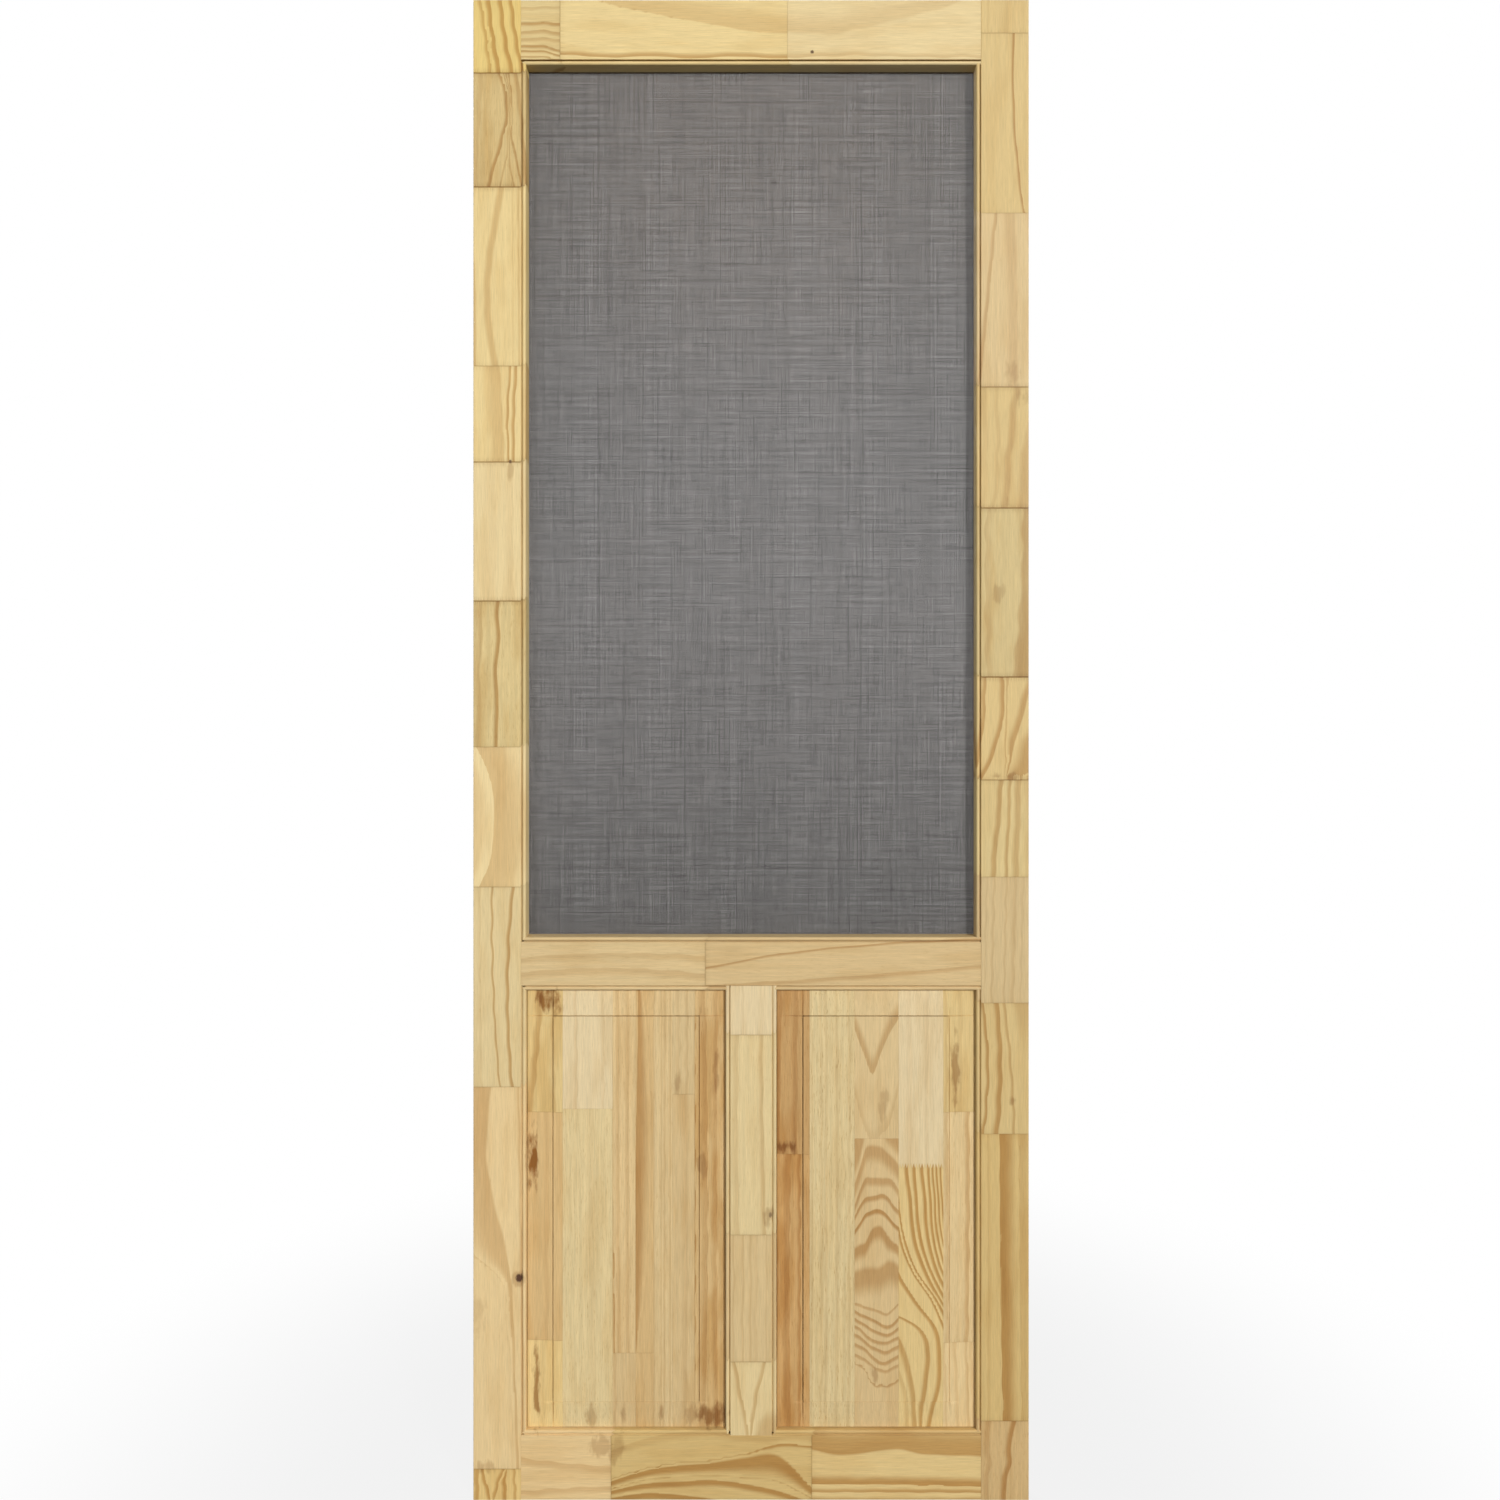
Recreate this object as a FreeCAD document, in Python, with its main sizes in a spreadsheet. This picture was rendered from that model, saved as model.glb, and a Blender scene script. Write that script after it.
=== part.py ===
"""A wooden screen door: moulded stiles and rails, two raised panels below, an insect screen above.

Millimetres. X runs across the door from the hinge edge, Y runs from the front to the back with its zero at
mid-thickness, and Z runs up from the foot of the door.

The door is set out on a rod, as a joiner does it: every line that a member is cut to is marked once on the
rod, worked out from the sizes, and the members, panels, screen and stops are all drawn from those lines.
"""
import FreeCAD
import Part

import math
import os

import Sketcher

# Driving sizes

SIZES = {
    "door_width": 762.0,
    "door_height": 2057.4,
    "door_thickness": 28.6,
    # Widths of the members, from the outer edge or sight line to the next sight line
    "stile_width": 72.0,
    "top_rail_width": 88.0,
    "lock_rail_width": 73.0,
    "bottom_rail_width": 95.0,
    "muntin_width": 70.0,
    "panel_opening_height": 603.8,
    # The moulding on each inner edge: a narrow sunk quirk, then a round bead just below the face
    "quirk_width": 1.4,
    "bead_radius": 2.6,
    "bead_drop": 0.4,
    # Mortise and tenon joints
    "tenon_thickness": 10.0,
    "tenon_length": 44.0,
    "tenon_shoulder": 12.0,
    "tenon_haunch": 18.0,
    "muntin_stub": 14.0,
    "mortise_gap": 1.5,
    # Raised panels, floating in grooves
    "groove_width": 10.0,
    "groove_depth": 10.0,
    "panel_reach": 8.0,
    "panel_play": 0.2,
    "panel_thickness": 19.0,
    "panel_margin": 37.0,
    "panel_step": 1.2,
    "panel_land": 1.0,
    # The screen, held in a rabbet at the back by four mitred stops
    "rabbet_width": 12.0,
    "rabbet_depth": 6.6,
    "screen_thickness": 0.5,
    # Openings that stand for the screen's mesh, which is far finer than this
    "mesh_columns": 12,
    "mesh_rows": 23,
    "mesh_opening": 16.0,
    # The stops
    "stop_width": 11.0,
    "stop_round": 2.5,
    "fit_gap": 0.3,
}

# Lines of the rod

ROD = {
    # Across the door
    "hinge_edge": "0",
    "left_sight": "Sizes.stile_width",
    "left_bead": "left_sight - 2 * Sizes.bead_radius",
    "left_face": "left_bead - Sizes.quirk_width",
    "latch_edge": "Sizes.door_width",
    "right_sight": "latch_edge - Sizes.stile_width",
    "right_bead": "right_sight + 2 * Sizes.bead_radius",
    "right_face": "right_bead + Sizes.quirk_width",
    "muntin_left_sight": "(latch_edge - Sizes.muntin_width) / 2",
    "muntin_left_bead": "muntin_left_sight + 2 * Sizes.bead_radius",
    "muntin_left_face": "muntin_left_bead + Sizes.quirk_width",
    "muntin_right_sight": "(latch_edge + Sizes.muntin_width) / 2",
    "muntin_right_bead": "muntin_right_sight - 2 * Sizes.bead_radius",
    "muntin_right_face": "muntin_right_bead - Sizes.quirk_width",
    # Up the door
    "foot": "0",
    "bottom_sight": "Sizes.bottom_rail_width",
    "bottom_bead": "bottom_sight - 2 * Sizes.bead_radius",
    "bottom_face": "bottom_bead - Sizes.quirk_width",
    "lock_low_sight": "bottom_sight + Sizes.panel_opening_height",
    "lock_low_bead": "lock_low_sight + 2 * Sizes.bead_radius",
    "lock_low_face": "lock_low_bead + Sizes.quirk_width",
    "lock_high_sight": "lock_low_sight + Sizes.lock_rail_width",
    "lock_high_bead": "lock_high_sight - 2 * Sizes.bead_radius",
    "lock_high_face": "lock_high_bead - Sizes.quirk_width",
    "head": "Sizes.door_height",
    "top_sight": "head - Sizes.top_rail_width",
    "top_bead": "top_sight + 2 * Sizes.bead_radius",
    "top_face": "top_bead + Sizes.quirk_width",
    # Through the thickness
    "front": "-Sizes.door_thickness / 2",
    "front_spring": "front + Sizes.bead_drop + Sizes.bead_radius",
    "back": "Sizes.door_thickness / 2",
    "back_spring": "back - Sizes.bead_drop - Sizes.bead_radius",
    "screen_seat": "back - Sizes.rabbet_depth",
    "stop_seat": "screen_seat + Sizes.screen_thickness",
    "stop_shoulder": "back - Sizes.stop_round",
    # The rabbet and the stops in it
    "rabbet_left": "left_sight - Sizes.rabbet_width",
    "rabbet_right": "right_sight + Sizes.rabbet_width",
    "rabbet_low": "lock_high_sight - Sizes.rabbet_width",
    "rabbet_high": "top_sight + Sizes.rabbet_width",
    "stop_left_outer": "rabbet_left + Sizes.fit_gap",
    "stop_left_inner": "stop_left_outer + Sizes.stop_width",
    "stop_left_crown": "stop_left_inner - Sizes.stop_round",
    "stop_right_outer": "rabbet_right - Sizes.fit_gap",
    "stop_right_inner": "stop_right_outer - Sizes.stop_width",
    "stop_right_crown": "stop_right_inner + Sizes.stop_round",
    "stop_low_outer": "rabbet_low + Sizes.fit_gap",
    "stop_low_inner": "stop_low_outer + Sizes.stop_width",
    "stop_low_crown": "stop_low_inner - Sizes.stop_round",
    "stop_high_outer": "rabbet_high - Sizes.fit_gap",
    "stop_high_inner": "stop_high_outer - Sizes.stop_width",
    "stop_high_crown": "stop_high_inner + Sizes.stop_round",
    # The openings of the mesh, spread evenly between the stops
    "mesh_across": "(stop_right_inner - stop_left_inner) / Sizes.mesh_columns",
    "mesh_up": "(stop_high_inner - stop_low_inner) / Sizes.mesh_rows",
    "mesh_left": "stop_left_inner + (mesh_across - Sizes.mesh_opening) / 2",
    "mesh_right": "mesh_left + Sizes.mesh_opening",
    "mesh_low": "stop_low_inner + (mesh_up - Sizes.mesh_opening) / 2",
    "mesh_high": "mesh_low + Sizes.mesh_opening",
}

BEAD = "bead"
ROUND = "round"
THROUGH = "2 * Sizes.door_thickness"

doc = FreeCAD.newDocument("screen_door")
subparts = []


def filled_sheet(name, rows):
    """Makes a spreadsheet with one row per named value: the name, then the value under that alias."""
    sheet = doc.addObject("Spreadsheet::Sheet", name)
    for number, (alias, content) in enumerate(rows.items(), start=1):
        sheet.set(f"A{number}", alias)
        sheet.set(f"B{number}", content)
        sheet.setAlias(f"B{number}", alias)
    doc.recompute()
    return sheet


filled_sheet("Sizes", {name: str(value) for name, value in SIZES.items()})
rod = filled_sheet("Rod", {name: f"={formula}" for name, formula in ROD.items()})


# Drawing on the rod's lines


def origin_plane(body, role):
    """Finds one of a body's own three origin planes."""
    return next(plane for plane in body.Origin.OriginFeatures if plane.Role == role)


def bind(sketch, direction, edge, point, line):
    """Ties a point of an edge to a rod line, measured from the sketch's origin."""
    number = sketch.addConstraint(Sketcher.Constraint(direction, -1, 1, edge, point, rod.get(line)))
    sketch.setExpression(f"Constraints[{number}]", f"Rod.{line}")


def arc_centre(kind, start, end):
    """Centre of a convex arc: midway along a bead's chord, or to the left of a rounded corner's chord."""
    if kind == BEAD:
        return (start + end) / 2
    corner = FreeCAD.Vector(end.x, start.y, 0)
    if (end - start).cross(corner - start).z > 0:
        return corner
    return FreeCAD.Vector(start.x, end.y, 0)


def convex_arc(start, end, centre):
    """An arc that runs anticlockwise about its centre from start to end."""
    angles = [math.atan2(point.y - centre.y, point.x - centre.x) for point in (start, end)]
    if angles[1] <= angles[0]:
        angles[1] += 2 * math.pi
    circle = Part.Circle(centre, FreeCAD.Vector(0, 0, 1), (start - centre).Length)
    return Part.ArcOfCircle(circle, angles[0], angles[1])


def outline_sketch(body, role, outline):
    """Draws an anticlockwise outline on an origin plane, with every corner tied to two rod lines.

    A corner is a pair of rod lines, and a third entry makes the edge that starts there a bead or a rounded
    corner.
    """
    sketch = body.newObject("Sketcher::SketchObject", f"{body.Name}_outline")
    sketch.AttachmentSupport = [(origin_plane(body, role), "")]
    sketch.MapMode = "FlatFace"
    places = [FreeCAD.Vector(rod.get(corner[0]), rod.get(corner[1]), 0) for corner in outline]
    followers = list(range(1, len(outline))) + [0]
    centres = {}
    for edge, following in enumerate(followers):
        start, end = places[edge], places[following]
        if len(outline[edge]) == 2:
            sketch.addGeometry(Part.LineSegment(start, end), False)
            continue
        centres[edge] = arc_centre(outline[edge][2], start, end)
        sketch.addGeometry(convex_arc(start, end, centres[edge]), False)
    for edge, following in enumerate(followers):
        sketch.addConstraint(Sketcher.Constraint("Coincident", edge, 2, following, 1))
        bind(sketch, "DistanceX", edge, 1, outline[edge][0])
        bind(sketch, "DistanceY", edge, 1, outline[edge][1])
    for edge, centre in centres.items():
        corner, end = outline[edge], outline[followers[edge]]
        if corner[0] == end[0]:
            bind(sketch, "DistanceX", edge, 3, corner[0])
        elif corner[1] == end[1]:
            bind(sketch, "DistanceY", edge, 3, corner[1])
        else:
            level = corner[1] if centre.y == places[edge].y else end[1]
            bind(sketch, "DistanceY", edge, 3, level)
    return sketch


def prism(name, role, outline, length, start=None):
    """A body padded from an outline: along its plane's normal from a start line, or else both ways."""
    body = doc.addObject("PartDesign::Body", name)
    sketch = outline_sketch(body, role, outline)
    pad = body.newObject("PartDesign::Pad", f"{name}_pad")
    pad.Profile = sketch
    pad.setExpression("Length", length)
    if start is None:
        pad.SideType = "Symmetric"
    else:
        axis = {"XY_Plane": "z", "YZ_Plane": "x", "XZ_Plane": "y"}[role]
        body.setExpression(f"Placement.Base.{axis}", start)
    sketch.Visibility = False
    return body


def block(name, low, high):
    """A box between two corners, each given as three formulas."""
    box = doc.addObject("Part::Box", name)
    for axis, side, start, end in zip("xyz", ("Length", "Width", "Height"), low, high):
        box.setExpression(f"Placement.Base.{axis}", start)
        box.setExpression(side, f"({end}) - ({start})")
    return box


def joined(name, pieces):
    """Several solids fused into one."""
    fusion = doc.addObject("Part::MultiFuse", name)
    fusion.Shapes = pieces
    return fusion


def shared(name, base, tool):
    """What two solids have in common."""
    common = doc.addObject("Part::Common", name)
    common.Base = base
    common.Tool = tool
    return common


def cut_from(name, base, tools):
    """One solid with several others cut away from it."""
    cut = doc.addObject("Part::Cut", name)
    cut.Base = base
    cut.Tool = joined(f"{name}_waste", tools) if len(tools) > 1 else tools[0]
    return cut


def subpart(feature, label):
    """Names a finished piece of the door, under which it is written out."""
    feature.Label = label
    subparts.append(feature)


# Sections of the members


def moulded_edge(edge, near, far):
    """Corners of a moulded inner edge, from one face of the door to the other."""
    return [
        (f"{edge}_face", near),
        (f"{edge}_face", f"{near}_spring"),
        (f"{edge}_bead", f"{near}_spring", BEAD),
        (f"{edge}_sight", f"{near}_spring"),
        (f"{edge}_sight", f"{far}_spring", BEAD),
        (f"{edge}_bead", f"{far}_spring"),
        (f"{edge}_face", f"{far}_spring"),
        (f"{edge}_face", far),
    ]


def laid(section):
    """A section turned from an upright member to one that lies along X."""
    return [(corner[1], corner[0], *corner[2:]) for corner in section]


SECTIONS = {
    "hinge_stile": [("hinge_edge", "front"), *moulded_edge("left", "front", "back"), ("hinge_edge", "back")],
    "latch_stile": [("latch_edge", "back"), *moulded_edge("right", "back", "front"), ("latch_edge", "front")],
    "centre_muntin": [
        *moulded_edge("muntin_right", "front", "back"),
        *moulded_edge("muntin_left", "back", "front"),
    ],
    "top_rail": laid([*moulded_edge("top", "front", "back"), ("head", "back"), ("head", "front")]),
    "lock_rail": laid(moulded_edge("lock_low", "front", "back") + moulded_edge("lock_high", "back", "front")),
    "bottom_rail": laid([("foot", "front"), ("foot", "back"), *moulded_edge("bottom", "back", "front")]),
}

# Outlines of the members between their shoulders, seen from the front, with the moulding mitred at each end

SHOULDERS = {
    "top_rail": [
        ("left_face", "top_face"),
        ("left_sight", "top_sight"),
        ("right_sight", "top_sight"),
        ("right_face", "top_face"),
        ("right_face", "head"),
        ("left_face", "head"),
    ],
    "lock_rail": [
        ("left_face", "lock_low_face"),
        ("left_sight", "lock_low_sight"),
        ("right_sight", "lock_low_sight"),
        ("right_face", "lock_low_face"),
        ("right_face", "lock_high_face"),
        ("right_sight", "lock_high_sight"),
        ("left_sight", "lock_high_sight"),
        ("left_face", "lock_high_face"),
    ],
    "bottom_rail": [
        ("left_face", "foot"),
        ("right_face", "foot"),
        ("right_face", "bottom_face"),
        ("right_sight", "bottom_sight"),
        ("left_sight", "bottom_sight"),
        ("left_face", "bottom_face"),
    ],
    "centre_muntin": [
        ("muntin_left_face", "bottom_face"),
        ("muntin_right_face", "bottom_face"),
        ("muntin_right_sight", "bottom_sight"),
        ("muntin_right_sight", "lock_low_sight"),
        ("muntin_right_face", "lock_low_face"),
        ("muntin_left_face", "lock_low_face"),
        ("muntin_left_sight", "lock_low_sight"),
        ("muntin_left_sight", "bottom_sight"),
    ],
}

# Heights of the tenons on each rail
TENON_HEIGHTS = {
    "top_rail": ("Rod.top_face + Sizes.tenon_shoulder", "Rod.head - Sizes.tenon_haunch"),
    "lock_rail": ("Rod.lock_low_face + Sizes.tenon_shoulder", "Rod.lock_high_face - Sizes.tenon_shoulder"),
    "bottom_rail": ("Rod.foot + Sizes.tenon_haunch", "Rod.bottom_face - Sizes.tenon_shoulder"),
}

TENON_FRONT = "-Sizes.tenon_thickness / 2"
TENON_BACK = "Sizes.tenon_thickness / 2"


def tenon_bar(name, rail, reach):
    """A bar through a rail whose two ends stand out past the shoulders by a reach."""
    low, high = TENON_HEIGHTS[rail]
    return block(
        name,
        (f"Rod.left_face - ({reach})", TENON_FRONT, low),
        (f"Rod.right_face + ({reach})", TENON_BACK, high),
    )


def muntin_bar(name, reach):
    """A bar up the muntin whose two ends stand out past its shoulders by a reach."""
    return block(
        name,
        ("Rod.muntin_left_face + Sizes.tenon_shoulder", TENON_FRONT, f"Rod.bottom_face - ({reach})"),
        ("Rod.muntin_right_face - Sizes.tenon_shoulder", TENON_BACK, f"Rod.lock_low_face + ({reach})"),
    )


# Panels: their openings, the grooves round them and the boards themselves

PANEL_OPENINGS = {
    "left_panel": ("Rod.left_sight", "Rod.muntin_left_sight"),
    "right_panel": ("Rod.muntin_right_sight", "Rod.right_sight"),
}

# Half thicknesses of a panel: its tongue, the top of its sloped margin and its raised field
TONGUE = "Sizes.groove_width / 2 - Sizes.panel_play"
CROWN = "Sizes.panel_thickness / 2 - Sizes.panel_step"
FIELD = "Sizes.panel_thickness / 2"

# Each end of a margin's slope: its half thickness, and how far it lies inside the sight lines
SLOPE = {
    "foot": (TONGUE, "Sizes.panel_land"),
    "crown": (CROWN, "Sizes.panel_margin"),
}


def panel_block(name, opening, spread, front, back):
    """A block over a panel opening, spread past its sight lines on all four sides."""
    left, right = PANEL_OPENINGS[opening]
    return block(
        name,
        (f"{left} - ({spread})", front, f"Rod.bottom_sight - ({spread})"),
        (f"{right} + ({spread})", back, f"Rod.lock_low_sight + ({spread})"),
    )


def panel_bevel(name, opening, near, far):
    """The sloped margin on one face of a panel; near is its end towards the front."""
    left, right = PANEL_OPENINGS[opening]
    bevel = doc.addObject("Part::Wedge", name)
    sign = "-" if near == "crown" else ""
    for end, level, prefix in ((near, "Ymin", ""), (far, "Ymax", "2")):
        half, inset = SLOPE[end]
        bevel.setExpression(level, f"{sign}({half})")
        bevel.setExpression(f"X{prefix}min", f"{left} + {inset}")
        bevel.setExpression(f"X{prefix}max", f"{right} - {inset}")
        bevel.setExpression(f"Z{prefix}min", f"Rod.bottom_sight + {inset}")
        bevel.setExpression(f"Z{prefix}max", f"Rod.lock_low_sight - {inset}")
    return bevel


grooves = {
    panel: panel_block(
        f"{panel}_groove",
        panel,
        "Sizes.groove_depth",
        "-Sizes.groove_width / 2",
        "Sizes.groove_width / 2",
    )
    for panel in PANEL_OPENINGS
}


def raised_panel(panel):
    """A board with a thin tongue round it, and on both faces a sloped margin and a field raised by a step."""
    tongue = panel_block(f"{panel}_tongue", panel, "Sizes.panel_reach", f"-({TONGUE})", TONGUE)
    field = panel_block(f"{panel}_field", panel, "-Sizes.panel_margin", f"-({FIELD})", FIELD)
    front = panel_bevel(f"{panel}_front_bevel", panel, "crown", "foot")
    back = panel_bevel(f"{panel}_back_bevel", panel, "foot", "crown")
    return joined(panel, [tongue, field, front, back])


# The frame

HEIGHT = "Rod.head - Rod.foot"
RAIL_LENGTH = "Rod.right_face - Rod.left_face"
RAILS = ("top_rail", "lock_rail", "bottom_rail")
MORTISE_REACH = "Sizes.tenon_length + Sizes.mortise_gap"

rabbet = block(
    "screen_rabbet",
    ("Rod.rabbet_left", "Rod.screen_seat", "Rod.rabbet_low"),
    ("Rod.rabbet_right", "Rod.back + Sizes.rabbet_depth", "Rod.rabbet_high"),
)
shoulders = {
    member: prism(f"{member}_shoulders", "XZ_Plane", outline, THROUGH)
    for member, outline in SHOULDERS.items()
}
mortises = {rail: tenon_bar(f"{rail}_mortises", rail, MORTISE_REACH) for rail in RAILS}
muntin_mortises = muntin_bar("muntin_mortises", "Sizes.muntin_stub + Sizes.mortise_gap")


def stile(label, panel):
    """An upright of the frame: a moulded length, notched and mortised for the rails, grooved and rabbeted."""
    blank = prism(f"{label}_blank", "XY_Plane", SECTIONS[label], HEIGHT, "Rod.foot")
    waste = [shoulders[rail] for rail in RAILS] + [mortises[rail] for rail in RAILS]
    subpart(cut_from(label, blank, [*waste, grooves[panel], rabbet]), label)


def rail(label, waste):
    """A crosspiece of the frame: a moulded length mitred into the stiles, with a tenon at each end."""
    blank = prism(f"{label}_blank", "YZ_Plane", SECTIONS[label], RAIL_LENGTH, "Rod.left_face")
    length = shared(f"{label}_length", blank, shoulders[label])
    tenoned = joined(f"{label}_tenoned", [length, tenon_bar(f"{label}_tenons", label, "Sizes.tenon_length")])
    subpart(cut_from(label, tenoned, waste), label)


def muntin(label):
    """The upright between the panels, with a stub tenon at each end."""
    height = "Rod.lock_low_face - Rod.bottom_face"
    blank = prism(f"{label}_blank", "XY_Plane", SECTIONS[label], height, "Rod.bottom_face")
    length = shared(f"{label}_length", blank, shoulders[label])
    tenoned = joined(f"{label}_tenoned", [length, muntin_bar(f"{label}_stubs", "Sizes.muntin_stub")])
    subpart(cut_from(label, tenoned, list(grooves.values())), label)


muntin_waste = [shoulders["centre_muntin"], muntin_mortises, *grooves.values()]
stile("hinge_stile", "left_panel")
stile("latch_stile", "right_panel")
rail("top_rail", [rabbet])
rail("lock_rail", [rabbet, *muntin_waste])
rail("bottom_rail", muntin_waste)
muntin("centre_muntin")
for name in PANEL_OPENINGS:
    subpart(raised_panel(name), name)

# The screen and its stops


def stop_section(side, reverse):
    """Section of a stop, flat on the screen and flush with the back, with its inner back corner rounded."""
    section = [
        (f"stop_{side}_outer", "stop_seat"),
        (f"stop_{side}_inner", "stop_seat"),
        (f"stop_{side}_inner", "stop_shoulder", ROUND),
        (f"stop_{side}_crown", "back"),
        (f"stop_{side}_outer", "back"),
    ]
    if not reverse:
        return section
    return [
        (f"stop_{side}_outer", "back"),
        (f"stop_{side}_crown", "back", ROUND),
        (f"stop_{side}_inner", "stop_shoulder"),
        (f"stop_{side}_inner", "stop_seat"),
        (f"stop_{side}_outer", "stop_seat"),
    ]


OUTER = {
    "low_left": ("stop_left_outer", "stop_low_outer"),
    "low_right": ("stop_right_outer", "stop_low_outer"),
    "high_right": ("stop_right_outer", "stop_high_outer"),
    "high_left": ("stop_left_outer", "stop_high_outer"),
}
INNER = {corner: tuple(line.replace("outer", "inner") for line in lines) for corner, lines in OUTER.items()}

MESH_OPENING = [
    ("mesh_left", "mesh_low"),
    ("mesh_right", "mesh_low"),
    ("mesh_right", "mesh_high"),
    ("mesh_left", "mesh_high"),
]


def screen(label):
    """A thin sheet that reaches to the stops' outer edges, pierced by an even grid of square openings."""
    sheet = prism(label, "XZ_Plane", list(OUTER.values()), "Sizes.screen_thickness", "Rod.stop_seat")
    opening = outline_sketch(sheet, "XZ_Plane", MESH_OPENING)
    pocket = sheet.newObject("PartDesign::Pocket", f"{label}_opening")
    pocket.Profile = opening
    pocket.Type = "ThroughAll"
    pocket.SideType = "Symmetric"
    opening.Visibility = False
    grid = sheet.newObject("PartDesign::LinearPattern", f"{label}_mesh")
    grid.Originals = [pocket]
    for way, axis, spacing, count in (("", "H_Axis", "across", "columns"), ("2", "V_Axis", "up", "rows")):
        setattr(grid, f"Direction{way}", (opening, [axis]))
        setattr(grid, f"Mode{way}", "Extent")
        grid.setExpression(f"Length{way}", f"Rod.mesh_{spacing} * (Sizes.mesh_{count} - 1)")
        grid.setExpression(f"Occurrences{way}", f"Sizes.mesh_{count}")
    sheet.Tip = grid
    subpart(sheet, label)


# Each stop runs between two corners of the rabbet, taken anticlockwise as seen from the front
STOP_CORNERS = {
    "low": ("low_left", "low_right"),
    "right": ("low_right", "high_right"),
    "high": ("high_right", "high_left"),
    "left": ("high_left", "low_left"),
}
STOP_LABELS = {
    "low": "screen_stop_bottom",
    "right": "screen_stop_right",
    "high": "screen_stop_top",
    "left": "screen_stop_left",
}


def screen_stop(side):
    """One strip that clamps an edge of the screen in the rabbet, mitred to its neighbours."""
    label = STOP_LABELS[side]
    first, second = STOP_CORNERS[side]
    corners = [OUTER[first], OUTER[second], INNER[second], INNER[first]]
    mitre = prism(f"{label}_mitre", "XZ_Plane", corners, THROUGH)
    if side in ("left", "right"):
        section = stop_section(side, side == "right")
        length = "Rod.stop_high_outer - Rod.stop_low_outer"
        blank = prism(f"{label}_blank", "XY_Plane", section, length, "Rod.stop_low_outer")
    else:
        section = laid(stop_section(side, side == "low"))
        length = "Rod.stop_right_outer - Rod.stop_left_outer"
        blank = prism(f"{label}_blank", "YZ_Plane", section, length, "Rod.stop_left_outer")
    subpart(shared(label, blank, mitre), label)


screen("insect_screen")
for side in STOP_LABELS:
    screen_stop(side)

# Checks and files

doc.recompute()
for feature in doc.Objects:
    if {"Invalid", "Error"} & set(feature.State):
        raise RuntimeError(f"{feature.Label} did not build: {feature.State}")
for piece in subparts:
    if piece.Shape.isNull() or not piece.Shape.isValid() or len(piece.Shape.Solids) != 1:
        raise RuntimeError(f"{piece.Label} is not one valid solid")

os.makedirs("parts", exist_ok=True)
for piece in subparts:
    piece.Shape.exportStep(f"parts/{piece.Label}.step")
    print(f"{piece.Label}: {piece.Shape.Volume / 1000:.1f} cm3")
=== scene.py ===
"""A bare pine screen door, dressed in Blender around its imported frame.

Every member is built from the finger-jointed blocks and glued strips that it is made of, each block cut
from a log of its own, so that the growth rings run through its faces, edges and ends. Sizes are in metres
in the frame's axes: X across the door, Y from the front face to the back, Z up from the foot.
"""

import logging
import math
from dataclasses import dataclass, field
from enum import Enum
from typing import Iterator, Optional, Sequence, Union

import bmesh
import bpy
import numpy as np
from numpy.typing import NDArray
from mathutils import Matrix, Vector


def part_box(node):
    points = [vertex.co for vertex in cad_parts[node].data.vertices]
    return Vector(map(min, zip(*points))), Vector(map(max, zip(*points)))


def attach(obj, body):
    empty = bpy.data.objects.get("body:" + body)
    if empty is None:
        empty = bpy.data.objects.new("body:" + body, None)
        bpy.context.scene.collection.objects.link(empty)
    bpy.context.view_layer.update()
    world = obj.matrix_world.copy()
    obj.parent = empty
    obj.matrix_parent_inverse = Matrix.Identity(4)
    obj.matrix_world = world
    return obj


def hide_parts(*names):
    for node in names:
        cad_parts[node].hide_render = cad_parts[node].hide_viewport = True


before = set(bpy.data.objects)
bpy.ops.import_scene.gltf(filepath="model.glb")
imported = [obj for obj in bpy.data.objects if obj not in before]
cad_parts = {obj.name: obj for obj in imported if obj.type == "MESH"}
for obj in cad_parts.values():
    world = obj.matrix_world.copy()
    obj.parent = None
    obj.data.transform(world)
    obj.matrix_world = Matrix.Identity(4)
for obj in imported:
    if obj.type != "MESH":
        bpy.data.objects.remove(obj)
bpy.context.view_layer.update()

Array = NDArray[np.float64]
Faces = list[list[int]]
Socket = bpy.types.NodeSocket
Feed = Union[Socket, float, Sequence[float]]

LOG = logging.getLogger("screen_door")
MM = 0.001


def pine_colour(red: int, green: int, blue: int) -> tuple[float, float, float]:
    """Turns a colour written in 0 to 255 display values into linear ones.

    Args:
        red: Red on the display scale.
        green: Green on the display scale.
        blue: Blue on the display scale.

    Returns:
        The linear colour, by the sRGB curve.
    """
    shown = np.array([red, green, blue]) / 255.0
    linear = np.where(shown <= 0.04045, shown / 12.92, ((shown + 0.055) / 1.055) ** 2.4)
    return float(linear[0]), float(linear[1]), float(linear[2])


class Tone(Enum):
    """The pale early wood of a block, as a sawyer would sort it."""

    RUSSET = pine_colour(203, 162, 105)
    TAN = pine_colour(226, 198, 124)
    AMBER = pine_colour(221, 190, 126)
    OLIVE = pine_colour(214, 181, 126)
    HONEY = pine_colour(223, 195, 135)
    ROSE = pine_colour(220, 191, 139)
    BUFF = pine_colour(220, 196, 139)
    STRAW = pine_colour(221, 194, 143)
    WHEAT = pine_colour(227, 204, 152)
    CREAM = pine_colour(232, 210, 165)


class Run(Enum):
    """The way a block's grain lines run: along the block, or across it where the saw cut the rings flat."""

    ALONG = "along"
    CROSS = "cross"


class Fade(Enum):
    """The side of a grain line on which its late wood fades out: before the line or after it."""

    BEFORE = 1.0
    AFTER = -1.0


class Axis(Enum):
    """The way a member's grain runs."""

    UPRIGHT = "upright"
    ACROSS = "across"


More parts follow.
